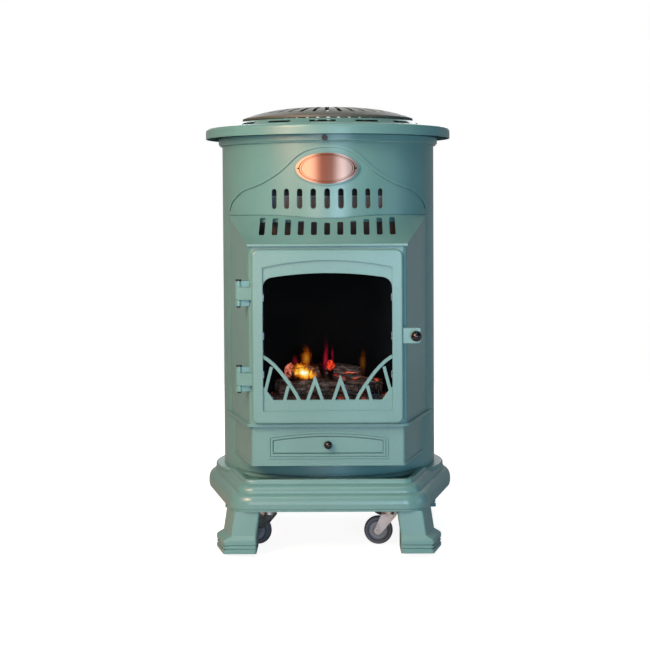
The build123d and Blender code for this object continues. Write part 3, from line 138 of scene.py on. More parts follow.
floor_lift = 0.9
floor_paint = bpy.data.materials.new("white_studio_floor")
floor_paint.use_nodes = True
floor_tree = floor_paint.node_tree
floor_tree.nodes.clear()
floor_ray = add(floor_tree, "ShaderNodeLightPath")
floor_matt = add(floor_tree, "ShaderNodeBsdfDiffuse", {"Color": linear("#bcbcbb")})
floor_level = maths(floor_tree, "MULTIPLY", floor_ray.outputs["Is Camera Ray"], floor_lift)
floor_glow = add(
    floor_tree, "ShaderNodeEmission", {"Color": (1, 1, 1, 1)}, {"Strength": floor_level}
)
floor_both = add(
    floor_tree, "ShaderNodeAddShader", links={0: floor_matt.outputs[0], 1: floor_glow.outputs[0]}
)
add(floor_tree, "ShaderNodeOutputMaterial", links={"Surface": floor_both.outputs[0]})

floor_half = 2.5
floor_mesh = bpy.data.meshes.new("studio_floor")
floor_mesh.from_pydata(
    [(x * floor_half, y * floor_half, 0) for x, y in ((-1, -1), (1, -1), (1, 1), (-1, 1))],
    [],
    [(0, 1, 2, 3)],
)
floor_mesh.materials.append(floor_paint)
studio_floor = bpy.data.objects.new("studio_floor", floor_mesh)
scene.collection.objects.link(studio_floor)


def softbox(name, place, target, size, watts, colour):
    """A rectangular area lamp that faces a target."""
    lamp = bpy.data.lights.new(name, "AREA")
    lamp.shape = "RECTANGLE"
    lamp.size, lamp.size_y = size
    lamp.energy = watts
    lamp.color = linear(colour)[:3]
    holder = bpy.data.objects.new(name, lamp)
    holder.location = place
    aim = Vector(target) - Vector(place)
    holder.rotation_euler = aim.to_track_quat("-Z", "Y").to_euler()
    scene.collection.objects.link(holder)


heater_middle = (0, 0, 0.42)
softbox("key_left", (-0.95, -1.53, 1.3), heater_middle, (0.7, 0.9), watts=43, colour="#ffd3b2")
softbox("warm_left", (-1.45, -1.37, 1.25), (0, 0, 0.5), (0.8, 1.2), watts=13, colour="#ff9468")
softbox("cool_front", (0.62, -3.04, 0.42), heater_middle, (0.8, 0.7), watts=32, colour="#bcd8f6")
softbox("fill_front", (-0.64, -3.0, 0.42), heater_middle, (0.7, 0.7), watts=14, colour="#ffe6dc")
softbox("high_front", (-0.1, -1.2, 2.1), heater_middle, (1.2, 0.7), watts=8, colour="#fbfdff")
softbox("low_right", (1.9, -0.6, 0.25), (0, 0, 0.2), (0.7, 0.6), watts=4, colour="#cfe8ff")
softbox("back", (0, 2.4, 1.5), heater_middle, (1.6, 1.2), watts=22, colour="#f2f7fa")


# ======== Cast plinth and legs ========
# A one-piece cast plinth on four cast legs with stepped feet, bolted from below. Satin powder
# coat in sage green: it flows over the edges and keeps a fine orange peel.
def surface(name, values):
    """A new material, its tree, its shader with uniform values, and object coordinates."""
    material = bpy.data.materials.new(name)
    material.use_nodes = True
    tree = material.node_tree
    shader = tree.nodes["Principled BSDF"]
    for socket, value in values.items():
        shader.inputs[socket].default_value = value
    return material, tree, shader, add(tree, "ShaderNodeTexCoord").outputs["Object"]


def cloudy(tree, place, size, detail=2, **values):
    """Noise whose patches are about as wide as size."""
    values = {"Scale": 1 / size, "Detail": detail, **values}
    return add(tree, "ShaderNodeTexNoise", values, {"Vector": place}).outputs[0]


def blended(tree, share, shade, tint):
    """A colour between two sRGB hex colours."""
    colours = {6: linear(shade), 7: linear(tint)}
    return add(tree, "ShaderNodeMix", colours, {0: share}, data_type="RGBA").outputs[2]


def bumped(tree, shader, height, depth, normal=None):
    """Gives a shader the relief of a height, on top of a normal."""
    links = {"Height": height} if normal is None else {"Height": height, "Normal": normal}
    bump = add(tree, "ShaderNodeBump", {"Distance": depth}, links)
    tree.links.new(bump.outputs[0], shader.inputs["Normal"])


def softened(tree, radius):
    """The normal of a surface whose edges are rounded to a radius."""
    return add(tree, "ShaderNodeBevel", {"Radius": radius}, samples=4).outputs[0]


def paint(name, shade, tint, roughness):
    """A satin powder coat between two close shades, with softened edges and an orange peel."""
    material, tree, shader, place = surface(name, {"Roughness": roughness, "IOR": 1.5})
    peel = cloudy(tree, place, 1.7 * mm, detail=3)
    both = maths(tree, "ADD", cloudy(tree, place, 80 * mm), peel)
    shades = blended(tree, ranged(tree, both, 0.0, 1.0, 0.65, 1.35), shade, tint)
    tree.links.new(shades, shader.inputs["Base Color"])
    bumped(tree, shader, peel, 0.02 * mm, softened(tree, 0.8 * mm))
    return material


def dress(material, *names):
    """Gives CAD nodes a material."""
    for name in names:
        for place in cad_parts[name].material_slots:
            place.material = material


# Sage green with a broad soft sheen, the colour of the whole cabinet.
sage_coat = paint("sage_powder_coat", "#578889", "#5f9293", 0.29)
dress(sage_coat, "base_plinth")
dress(sage_coat, "leg_front_left", "leg_front_right", "leg_rear_left", "leg_rear_right")


# ======== Zinc plated hardware ========
# Leg bolts, castor stems and forks, the flap's hinge pin and the glass clips are pressed or
# turned steel with bright zinc plate, which shows a faint mottle and soft reflections.
def metal(name, shade, tint, roughness, mottle, bump_depth, stretch=(1, 1, 1)):
    """A plated or bare metal whose colour and gloss wander a little over a mottle's size."""
    material, tree, shader, place = surface(name, {"Metallic": 1.0})
    drawn = add(tree, "ShaderNodeMapping", {"Scale": stretch}, {"Vector": place}).outputs[0]
    cloud = cloudy(tree, drawn, mottle, detail=4)
    tree.links.new(blended(tree, cloud, shade, tint), shader.inputs["Base Color"])
    gloss = ranged(tree, cloud, roughness * 0.8, roughness * 1.25, 0.3, 0.7)
    tree.links.new(gloss, shader.inputs["Roughness"])
    bumped(tree, shader, cloud, bump_depth, softened(tree, 0.3 * mm))
    return material


zinc_plate = metal("bright_zinc_plate", "#b4b8bc", "#c6cacd", 0.30, 9 * mm, 0.003 * mm)
castor_sides = ("front_left", "front_right", "rear_left", "rear_right")
dress(zinc_plate, "leg_bolts", "castor_stems", "flap_hinge_pin", "glass_clips")
dress(zinc_plate, *["castor_fork_" + side for side in castor_sides])


# ======== Castor wheels ========
# Twin-shade wheels: a dark grey rubber tyre on a lighter moulded hub, turning on a zinc axle.
# Each wheel's pattern is centred on its own axle.
tyre_inner = 19.5 * mm
tyre_blur = 0.3 * mm
wheel_rings = (
    (0, "#9aa0a5"),
    (7, "#7d838a"),
    (10, "#575d64"),
    (12, "#8f959a"),
    (16, "#868c92"),
    (18.5, "#5a6067"),
    (20, "#41464c"),
    (22, "#62686f"),
    (25, "#565c63"),
)
wheel_r = wheel_rings[-1][0]


def ramped(tree, value, stops):
    """A colour ramp through (place, sRGB hex) stops, the first at 0 and the last at 1."""
    ramp = add(tree, "ShaderNodeValToRGB", links={0: value})
    stretches = ramp.color_ramp.elements
    stretches[0].color = linear(stops[0][1])
    stretches[1].color = linear(stops[-1][1])
    for place, colour in stops[1:-1]:
        stretches.new(place).color = linear(colour)
    return ramp.outputs[0]


def length_of(tree, vector):
    """How long a vector is."""
    return add(tree, "ShaderNodeVectorMath", links={0: vector}, operation="LENGTH").outputs["Value"]


def wheel_plastic(name, centre):
    """Scuffed rubber outside, moulded plastic within, and the axle's end at the middle."""
    material, tree, shader, place = surface(name, {})
    moved = {"Location": tuple(-c for c in centre)}
    centred = add(tree, "ShaderNodeMapping", moved, {"Vector": place}).outputs[0]
    reach = length_of(tree, centred)
    scuff = cloudy(tree, place, 3 * mm, detail=4)
    rings = ramped(
        tree,
        ranged(tree, reach, 0.0, 1.0, 0.0, wheel_r * mm),
        [(ring_r / wheel_r, shade) for ring_r, shade in wheel_rings],
    )
    colour = add(
        tree,
        "ShaderNodeMix",
        {0: 1.0},
        {6: rings, 7: ranged(tree, scuff, 0.78, 1.12)},
        data_type="RGBA",
        blend_type="MULTIPLY",
    )
    tree.links.new(colour.outputs[2], shader.inputs["Base Color"])
    tyre = ranged(tree, reach, 0.0, 1.0, tyre_inner - tyre_blur, tyre_inner + tyre_blur)
    tree.links.new(ranged(tree, tyre, 0.38, 0.62), shader.inputs["Roughness"])
    bumped(tree, shader, scuff, 0.03 * mm)
    return material


for side in castor_sides:
    low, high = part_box("castor_wheel_" + side)
    middle = [(low[i] + high[i]) / 2 for i in range(3)]
    dress(wheel_plastic("castor_rubber_and_nylon_" + side, middle), "castor_wheel_" + side)


# ======== Galvanised inner sheets ========
# The cabinet's floor and the control panel are unpainted galvanised sheet, cut and folded, with
# the crystal spangle of hot-dip zinc.
galvanised, spangle_tree, spangle_shader, spangle_place = surface(
    "galvanised_spangle", {"Metallic": 1.0}
)
spangle = add(
    spangle_tree,
    "ShaderNodeTexVoronoi",
    {"Scale": 1 / (9 * mm), "Randomness": 1.0},
    {"Vector": spangle_place},
)
spangle_split = add(
    spangle_tree, "ShaderNodeSeparateColor", links={0: spangle.outputs["Color"]}
).outputs
spangle_shade = blended(spangle_tree, spangle_split[0], "#9fa5a7", "#c3c8c9")
spangle_tree.links.new(spangle_shade, spangle_shader.inputs["Base Color"])
spangle_gloss = ranged(spangle_tree, spangle_split[1], 0.32, 0.5)
spangle_tree.links.new(spangle_gloss, spangle_shader.inputs["Roughness"])
dress(galvanised, "base_floor", "control_panel")


# ======== Heat shield ========
# The galvanised sheet between the firebox and the bottle, and the burner's tubes, carry bands of
# colour
# up their height: brown-black low behind the louvres and near black above the firebox, both painted
# shade, grey-blue heat tint between, and a thin pale band at 607 mm that is a painted highlight.
stain_low = 540
stain_high = 620
# Painted shade low and high, heat tint between, and a painted highlight in the thin pale band at
# 607 mm.
stain_shade_and_highlight_stops = (
    (stain_low, "#3a3532"),
    (566, "#453d3a"),
    (580, "#5f5c58"),
    (594, "#6a6d72"),
    (605, "#6f777e"),
    (607, "#8b979e"),
    (609, "#343a3e"),
    (stain_high, "#2b3034"),
)
galvanised_with_painted_light, stain_tree, stain_shader, stain_place = surface(
    "galvanised_stain_and_painted_light", {"Metallic": 0.6, "Roughness": 0.5}
)
stain_axes = add(stain_tree, "ShaderNodeSeparateXYZ", links={0: stain_place}).outputs
stain_cloud = cloudy(stain_tree, stain_place, 14 * mm, detail=4)
stain_waver = ranged(stain_tree, stain_cloud, -2 * mm, 2 * mm)
stain_height = maths(stain_tree, "ADD", stain_axes["Z"], stain_waver)
stain_and_painted_light = ramped(
    stain_tree,
    ranged(stain_tree, stain_height, 0.0, 1.0, stain_low * mm, stain_high * mm),
    [((height - stain_low) / (stain_high - stain_low), colour) for height, colour in stain_shade_and_highlight_stops],
)
stain_tree.links.new(stain_and_painted_light, stain_shader.inputs["Base Color"])
bumped(stain_tree, stain_shader, stain_cloud, 0.05 * mm)
dress(galvanised_with_painted_light, "heat_shield", "burner_tubes")


# ======== Drum, rear cover and front casing ========
# The rolled sheet drum stands on a flange, and the pressed casing, crest panel and louvred hood
# are fixed on its front. The rear cover lifts off. All have the plinth's powder coat.
dress(sage_coat, "drum_shell", "drum_foot_flange", "rear_cover", "lower_casing")
dress(sage_coat, "front_casing", "crest_panel", "hood", "hinge_lugs")


# ======== Nameplate ========
# A thin oval of brushed copper, lacquered, held by two small domed rivets. Its border is engraved
# as two fine oval lines, the brushing runs across, and the darker brown middle is a painted dark
# reflection.
plate_low, plate_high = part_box("nameplate")
plate_middle = [(plate_low[i] + plate_high[i]) / 2 for i in range(3)]
plate_half = [(plate_high[i] - plate_low[i]) / 2 for i in range(3)]
brushing = (0.03, 1, 1)
brushed_copper = metal(
    "brushed_copper", "#a4806f", "#b6917e", 0.34, 0.5 * mm, 0.0004 * mm, stretch=brushing
)
copper_tree = brushed_copper.node_tree
copper_shader = copper_tree.nodes["Principled BSDF"]
oval_place = add(
    copper_tree,
    "ShaderNodeMapping",
    {
        "Location": (-plate_middle[0] / plate_half[0], 0, -plate_middle[2] / plate_half[2]),
        "Scale": (1 / plate_half[0], 0, 1 / plate_half[2]),
    },
    {"Vector": add(copper_tree, "ShaderNodeTexCoord").outputs["Object"]},
).outputs[0]
oval_reach = length_of(copper_tree, oval_place)
engraved = 0.0
for line_at, line_half in ((0.89, 0.016), (0.82, 0.009)):
    away = maths(copper_tree, "SUBTRACT", oval_reach, line_at)
    line = maths(copper_tree, "LESS_THAN", maths(copper_tree, "ABSOLUTE", away), line_half)
    engraved = maths(copper_tree, "MAXIMUM", engraved, line)
oval_axes = add(copper_tree, "ShaderNodeSeparateXYZ", links={0: oval_place}).outputs
oval_side = maths(copper_tree, "ABSOLUTE", oval_axes["X"])
# Painted dark reflection: the copper's colour turns dark brown towards the middle of the plate.
painted_dark_reflection_share = ranged(
    copper_tree, oval_side, 0.9, 0.0, 0.12, 0.6, interpolation_type="SMOOTHSTEP"
)
painted_dark_reflection = add(
    copper_tree,
    "ShaderNodeMix",
    {7: linear("#5f3526")},
    {0: painted_dark_reflection_share, 6: copper_shader.inputs["Base Color"].links[0].from_socket},
    data_type="RGBA",
)
copper_mix = add(
    copper_tree,
    "ShaderNodeMix",
    {7: linear("#3c1f14")},
    {0: engraved, 6: painted_dark_reflection.outputs[2]},
    data_type="RGBA",
)
copper_tree.links.new(copper_mix.outputs[2], copper_shader.inputs["Base Color"])
dress(brushed_copper, "nameplate")

# Dark steel that shows only its small highlights.
dark_screw = metal("blackened_steel", "#2a2a2b", "#454446", 0.35, 2 * mm, 0.01 * mm)
dress(dark_screw, "badge_rivets")


# ======== Firebox ========
# The box behind the door is folded from thin sheet in matt black stove paint, and so are the
# burner tray in it and the door's catch. A dusty bloom lies on the black.
stove_black, black_tree, black_shader, black_place = surface(
    "stove_black_paint", {"Roughness": 0.85, "Specular IOR Level": 0.15}
)
black_bloom = cloudy(black_tree, black_place, 25 * mm, detail=6)
black_shade = blended(black_tree, black_bloom, "#020203", "#060607")
black_tree.links.new(black_shade, black_shader.inputs["Base Color"])
bumped(black_tree, black_shader, cloudy(black_tree, black_place, 0.8 * mm), 0.02 * mm)
dress(stove_black, "firebox_liner", "burner_tray", "door_catch")


# ======== Logs ========
# Ceramic-fibre logs, cast in a mould and painted as charred wood: bark furrows along the grain,
# nearly black, with brown heartwood on the worn ridges and red heat in the lower cracks.
log_voxel = 1.5 * mm
bark_depth = 3.0 * mm
bark_grain = 5.0 * mm
bark_stretch = 4.0
glow_cell = 11 * mm
# Where the cracks glow: x and z of the middle, and the reach to each side, in mm.
glow_spots = ((40, 299, 34, 9), (88, 294, 10, 7), (-75, 308, 8, 6))

charred, char_tree, char_shader, char_place = surface(
    "charred_ceramic_fibre", {"Roughness": 0.92}
)
char_long = add(
    char_tree, "ShaderNodeMapping", {"Scale": (1 / bark_stretch, 1, 1)}, {"Vector": char_place}
).outputs[0]
char_bark = cloudy(char_tree, char_long, bark_grain, detail=8, Roughness=0.7)
char_worn = ranged(char_tree, char_bark, 0.0, 1.0, 0.45, 0.75)
char_tree.links.new(
    blended(char_tree, char_worn, "#513d34", "#e0c3b0"), char_shader.inputs["Base Color"]
)
bumped(char_tree, char_shader, char_bark, 0.8 * mm)
glow_crack = add(
    char_tree,
    "ShaderNodeTexVoronoi",
    {"Scale": 1 / glow_cell},
    {"Vector": char_long},
    feature="DISTANCE_TO_EDGE",
)
glow_near = 0.0
for glow_x, glow_z, reach_x, reach_z in glow_spots:
    glow_place = add(
        char_tree,
        "ShaderNodeMapping",
        {
            "Location": (-glow_x / reach_x, 0, -glow_z / reach_z),
            "Scale": (1 / (reach_x * mm), 0, 1 / (reach_z * mm)),
        },
        {"Vector": char_place},
    ).outputs[0]
    glow_fade = ranged(char_tree, length_of(char_tree, glow_place), 1.0, 0.0, 0.5, 1.0)
    glow_near = maths(char_tree, "MAXIMUM", glow_near, glow_fade)
glow_thin = ranged(char_tree, glow_crack.outputs["Distance"], 1.0, 0.0, 0.0, 0.11)
glow_patch = ranged(char_tree, cloudy(char_tree, char_place, 12 * mm), 0.0, 1.0, 0.42, 0.60)
glow = maths(char_tree, "MULTIPLY", maths(char_tree, "MULTIPLY", glow_thin, glow_patch), glow_near)
glow_colour = ramped(char_tree, glow, ((0, "#c01018"), (1, "#ff7a3a")))
char_tree.links.new(glow_colour, char_shader.inputs["Emission Color"])
char_tree.links.new(
    maths(char_tree, "MULTIPLY", glow, 2.6), char_shader.inputs["Emission Strength"]
)


def barked(name, source):
    """A log with bark furrows pressed into its surface."""
    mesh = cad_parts[source].data.copy()
    work = bmesh.new()
    work.from_mesh(mesh)
    bmesh.ops.remove_doubles(work, verts=work.verts, dist=0.01 * mm)
    work.to_mesh(mesh)
    work.free()
    rough = bpy.data.objects.new(name, mesh)
    scene.collection.objects.link(rough)
    remesh = rough.modifiers.new("voxels", "REMESH")
    remesh.mode = "VOXEL"
    remesh.voxel_size = log_voxel
    bpy.context.view_layer.update()
    dense = bpy.data.meshes.new_from_object(
        rough.evaluated_get(bpy.context.evaluated_depsgraph_get())
    )
    rough.modifiers.clear()
    rough.data = dense
    for vertex in dense.vertices:
        along = Vector((vertex.co.x / bark_stretch, vertex.co.y, vertex.co.z)) / bark_grain
        ridge = abs(noise.noise(along)) * 1.6
        ridge += 0.35 * abs(noise.noise(along * 2.7 + Vector((7, 3, 1))))
        vertex.co -= vertex.normal * bark_depth * max(0.0, 1.0 - 2.2 * ridge)
    for face in dense.polygons:
        face.use_smooth = True
    dense.materials.clear()
    dense.materials.append(charred)
    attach(rough, "cabinet")
    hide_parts(source)
    return rough


barked("front_log", "log_front")
back_logs = barked("back_logs", "log_back")


# ======== Ember bed ========
# Loose granules of ceramic and mineral wool lie on the tray and glow over the burner. The bed's
# plain top stays below them, and every granule is a small broken lump.
granule_size = 5.0 * mm
granule_density = 52000.0
granule_seed = 4
bed_low, bed_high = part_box("ember_bed")
bed_rim = granule_size / 2 + 1.0 * mm
ember_hot_from = 0.60

# Grey-brown granules, some of them red hot.
ember_stone, ember_tree, ember_shader, ember_place = surface(
    "ember_granules", {"Roughness": 0.95, "Emission Color": linear("#ff4318")}
)
ember_cloud = cloudy(ember_tree, ember_place, 6 * mm, detail=4)
ember_tree.links.new(
    blended(ember_tree, ember_cloud, "#3a2823", "#8a6a60"), ember_shader.inputs["Base Color"]
)
ember_heat = cloudy(ember_tree, ember_place, 22 * mm, detail=3)
ember_tree.links.new(
    ranged(ember_tree, ember_heat, 0.0, 0.8, ember_hot_from, ember_hot_from + 0.16),
    ember_shader.inputs["Emission Strength"],
)
dress(ember_stone, "ember_bed")

bed_mesh = bpy.data.meshes.new("ember_granules")
bed_mesh.from_pydata(
    [
        (bed_low[0] + bed_rim, bed_low[1] + bed_rim, bed_high[2]),
        (bed_high[0] - bed_rim, bed_low[1] + bed_rim, bed_high[2]),
        (bed_high[0] - bed_rim, bed_high[1] - bed_rim, bed_high[2]),
        (bed_low[0] + bed_rim, bed_high[1] - bed_rim, bed_high[2]),
    ],
    [],
    [(0, 1, 2, 3)],
)
granules = bpy.data.objects.new("ember_granules", bed_mesh)
scene.collection.objects.link(granules)
bed_tree = bpy.data.node_groups.new("strewn_granules", "GeometryNodeTree")
bed_sockets = bed_tree.interface
bed_sockets.new_socket("Bed", in_out="INPUT", socket_type="NodeSocketGeometry")
bed_inputs = {}
for label, kind, value in (
    ("Granule size", "NodeSocketFloat", granule_size),
    ("Density", "NodeSocketFloat", granule_density),
    ("Seed", "NodeSocketInt", granule_seed),
):
    bed_socket = bed_sockets.new_socket(label, in_out="INPUT", socket_type=kind)
    bed_inputs[bed_socket.identifier] = value
bed_sockets.new_socket("Granules", in_out="OUTPUT", socket_type="NodeSocketGeometry")
bed_in = add(bed_tree, "NodeGroupInput").outputs
strewn = add(
    bed_tree,
    "GeometryNodeDistributePointsOnFaces",
    links={"Mesh": bed_in["Bed"], "Density": bed_in["Density"], "Seed": bed_in["Seed"]},
)
lump = add(
    bed_tree,
    "GeometryNodeMeshIcoSphere",
    {"Subdivisions": 1},
    {"Radius": maths(bed_tree, "MULTIPLY", bed_in["Granule size"], 0.5)},
)
lump_turn = add(
    bed_tree,
    "FunctionNodeRandomValue",
    {"Min": (0, 0, 0), "Max": (2 * pi, 2 * pi, 2 * pi)},
    {"Seed": bed_in["Seed"]},
    data_type="FLOAT_VECTOR",
)
lump_scale = add(
    bed_tree,
    "FunctionNodeRandomValue",
    {"Min": (0.55, 0.55, 0.45), "Max": (1.25, 1.1, 0.9)},
    {"Seed": bed_in["Seed"]},
    data_type="FLOAT_VECTOR",
)
lumps = add(
    bed_tree,
    "GeometryNodeInstanceOnPoints",
    links={
        "Points": strewn.outputs["Points"],
        "Instance": lump.outputs["Mesh"],
        "Rotation": lump_turn.outputs["Value"],
        "Scale": lump_scale.outputs["Value"],
    },
)
real_lumps = add(bed_tree, "GeometryNodeRealizeInstances", links={0: lumps.outputs[0]})
stuffed = add(
    bed_tree,
    "GeometryNodeSetMaterial",
    {"Material": ember_stone},
    {"Geometry": real_lumps.outputs[0]},
)
add(bed_tree, "NodeGroupOutput", links={0: stuffed.outputs[0]})
strew = granules.modifiers.new("strewn", "NODES")
strew.node_group = bed_tree
for identifier, value in bed_inputs.items():
    strew[identifier] = value
bpy.context.view_layer.update()
bed_whole = bpy.data.meshes.new_from_object(
    granules.evaluated_get(bpy.context.evaluated_depsgraph_get())
)
granules.modifiers.clear()
granules.data = bed_whole
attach(granules, "cabinet")


# ======== Hot lumps ========
# Two broken lumps of ceramic that glow through, one coral and one red, lying loose on the front
# slope of the back logs.
def glow_stuff(name, dull, hot, strength):
    """Ceramic that glows in patches between its sooty pits."""
    material, tree, shader, place = surface(name, {"Roughness": 0.95})
    pits = cloudy(tree, place, 4 * mm, detail=5, Roughness=0.7)
    level = ranged(tree, pits, 0.0, 1.0, 0.38, 0.62)
    shades = blended(tree, level, dull, hot)
    tree.links.new(shades, shader.inputs["Base Color"])
    tree.links.new(shades, shader.inputs["Emission Color"])
    tree.links.new(ranged(tree, level, 0.25, strength), shader.inputs["Emission Strength"])
    return material


def seat_on(piece, start, heading):
    """Where a straight line from start first meets a piece."""
    hit, place, *_ = piece.ray_cast(Vector(start), Vector(heading))
    if not hit:
        raise ValueError("nothing to rest on at " + str(start))
    return place


def hot_lump(name, material, x, y, half, phase):
    """A jagged lump that lies on the back logs."""
    rest = seat_on(back_logs, (x * mm, y * mm, bed_high[2] + 0.1), (0, 0, -1))
    rest.z += 0.6 * half[2] * mm
    work = bmesh.new()
    bmesh.ops.create_icosphere(work, subdivisions=4, radius=1.0)
    for vertex in work.verts:
        jag = 1 + 0.30 * noise.noise(vertex.co * 1.6 + Vector((phase, 0, 0)))
        jag += 0.14 * noise.noise(vertex.co * 4.5 + Vector((0, phase, 0)))
        vertex.co = rest + Vector([vertex.co[i] * jag * half[i] * mm for i in range(3)])
    mesh = bpy.data.meshes.new(name)
    work.to_mesh(mesh)
    work.free()
    for face in mesh.polygons:
        face.use_smooth = True
    mesh.materials.append(material)
    piece = bpy.data.objects.new(name, mesh)
    scene.collection.objects.link(piece)
    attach(piece, "cabinet")


coral_heat = glow_stuff("coral_hot_ceramic", "#8a3a30", "#ff8a70", 1.7)
red_heat = glow_stuff("red_hot_ceramic", "#a01210", "#ff4a22", 1.5)
hot_lump("hot_lump_left", coral_heat, x=-67, y=-153, half=(9.0, 5.0, 14.0), phase=3.0)
hot_lump("hot_lump_middle", red_heat, x=4, y=-169, half=(7.0, 5.0, 8.0), phase=8.0)


# ======== Flames ========
# Gas flames rise from the bed between the front log and the back ones. Each is a closed thin
# tongue that is dense at its heart and thins out to nothing before its edge.
flame_sides = 16
flame_levels = 20
bed_top = bed_high[2]
yellow_fire = ("#fffbe6", "#ffe88a", "#ffb52e", "#ff7a14", "#b8380a")
orange_fire = ("#ffb03a", "#f58a1c", "#c9600f", "#7a300a", "#3a1406")
crimson_fire = ("#e0304a", "#c01c36", "#901228", "#560a18", "#28050a")


def flame_gas(name, heart, reach, lean, colours, strength, dense, flicker):
    """Burning gas round a heart: colours from the heart outwards, brightness and density."""
    material = bpy.data.materials.new(name)
    material.use_nodes = True
    tree = material.node_tree
    tree.nodes.clear()
    near = add(
        tree,
        "ShaderNodeVectorMath",
        {1: (heart[0] * mm, 0, heart[1] * mm)},
        {0: add(tree, "ShaderNodeTexCoord").outputs["Object"]},
        operation="SUBTRACT",
    )
    tipped = add(
        tree,
        "ShaderNodeVectorRotate",
        {"Angle": radians(lean)},
        {"Vector": near.outputs[0]},
        rotation_type="Y_AXIS",
    ).outputs[0]
    sized = add(
        tree,
        "ShaderNodeVectorMath",
        {1: (1 / (reach[0] * mm), 0, 1 / (reach[1] * mm))},
        {0: tipped},
        operation="MULTIPLY",
    )
    drawn = add(tree, "ShaderNodeMapping", {"Scale": (1, 1, 0.55)}, {"Vector": tipped}).outputs[0]
    waver = cloudy(tree, drawn, flicker * mm, detail=4, Distortion=1.2)
    level = maths(tree, "ADD", length_of(tree, sized.outputs[0]), ranged(tree, waver, -0.75, 0.75))
    stops = [(i / (len(colours) - 1), colour) for i, colour in enumerate(colours)]
    hue = ramped(tree, level, stops)
    thin = ranged(tree, level, dense, 0.0, 0.35, 1.0, interpolation_type="SMOOTHSTEP")
    glow = add(tree, "ShaderNodeEmission", {"Strength": strength}, {"Color": hue})
    clear = add(tree, "ShaderNodeBsdfTransparent")
    both = add(
        tree, "ShaderNodeMixShader", links={0: thin, 1: clear.outputs[0], 2: glow.outputs[0]}
    )
    add(tree, "ShaderNodeOutputMaterial", links={"Surface": both.outputs[0]})
    return material


def flame(name, gas, foot, top, width, lean, sway, phase):
    """One flame tongue from the bed: narrow foot, wavering middle, thin tip."""
    height = top * mm - bed_top
    work = bmesh.new()
    rings = []
    for step in range(1, flame_levels):
        t = step / flame_levels
        half = width * mm / 2 * sin(pi * t**1.1) ** 0.7
        shift = (lean * t * t + sway * t * sin(2.2 * pi * t + phase)) * mm
        ring = []
        for side in range(flame_sides):
            angle = 2 * pi * side / flame_sides
            wave = 1 + 0.08 * sin(3 * angle + 5 * t + phase)
            x = foot[0] * mm + shift + half * wave * cos(angle)
            y = foot[1] * mm + 0.22 * half * wave * sin(angle)
            ring.append(work.verts.new((x, y, bed_top + height * t)))
        rings.append(ring)
    bottom = work.verts.new((foot[0] * mm, foot[1] * mm, bed_top))
    tip_x = foot[0] + lean + sway * sin(2.2 * pi + phase)
    tip = work.verts.new((tip_x * mm, foot[1] * mm, top * mm))
    for side in range(flame_sides):
        after = (side + 1) % flame_sides
        work.faces.new((bottom, rings[0][after], rings[0][side]))
        work.faces.new((tip, rings[-1][side], rings[-1][after]))
        for below, above in zip(rings, rings[1:]):
            work.faces.new((below[side], below[after], above[after], above[side]))
    bmesh.ops.recalc_face_normals(work, faces=work.faces)
    mesh = bpy.data.meshes.new(name)
    work.to_mesh(mesh)
    work.free()
    for face in mesh.polygons:
        face.use_smooth = True
    mesh.materials.append(gas)
    piece = bpy.data.objects.new(name, mesh)
    scene.collection.objects.link(piece)
    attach(piece, "cabinet")


yellow_gas = flame_gas(
    "yellow_gas_flame", heart=(-42, 307), reach=(25, 15), lean=-22,
    colours=yellow_fire, strength=1.6, dense=1.0, flicker=9,
)
flame(
    "flame_heart", yellow_gas, foot=(-40, -176), top=352, width=68, lean=0, sway=1, phase=0.0,
)
orange_gas = flame_gas(
    "orange_gas_flame", heart=(-37, 330), reach=(11, 24), lean=0,
    colours=orange_fire, strength=0.8, dense=0.6, flicker=8,
)
flame(
    "flame_over_heart", orange_gas, foot=(-39, -171), top=374, width=40, lean=4, sway=3, phase=0.6,
)
crimson_gas = flame_gas(
    "crimson_gas_flame", heart=(-4, 330), reach=(6, 34), lean=-4,
    colours=crimson_fire, strength=0.8, dense=0.85, flicker=10,
)
flame(
    "flame_column", crimson_gas, foot=(-2, -172), top=388, width=28, lean=-6, sway=2, phase=1.2,
)
slip_gas = flame_gas(
    "thin_crimson_gas_flame", heart=(8, 336), reach=(3, 20), lean=3,
    colours=crimson_fire, strength=0.45, dense=0.55, flicker=8,
)
flame(
    "flame_slip", slip_gas, foot=(7, -170), top=366, width=15, lean=3, sway=1, phase=2.1,
)
faint_orange_gas = flame_gas(
    "faint_orange_gas_flame", heart=(60, 322), reach=(8, 28), lean=0,
    colours=orange_fire, strength=0.22, dense=0.35, flicker=8,
)
flame(
    "flame_right", faint_orange_gas, foot=(60, -171), top=366, width=28, lean=2, sway=2, phase=2.6,
)
faint_crimson_gas = flame_gas(
    "faint_crimson_gas_flame", heart=(-57, 326), reach=(7, 13), lean=0,
    colours=crimson_fire, strength=0.4, dense=0.45, flicker=7,
)
flame(
    "flame_left", faint_crimson_gas, foot=(-57, -171), top=350, width=24, lean=2, sway=2, phase=3.1,
)


# ======== Door ========
# A pressed steel frame with a cut fret over its lower edge, hung on two hinge arms at the left
# and drawn shut by a magnetic catch. Same powder coat.
dress(sage_coat, "door_frame", "door_fret", "latch_tab", "control_flap")


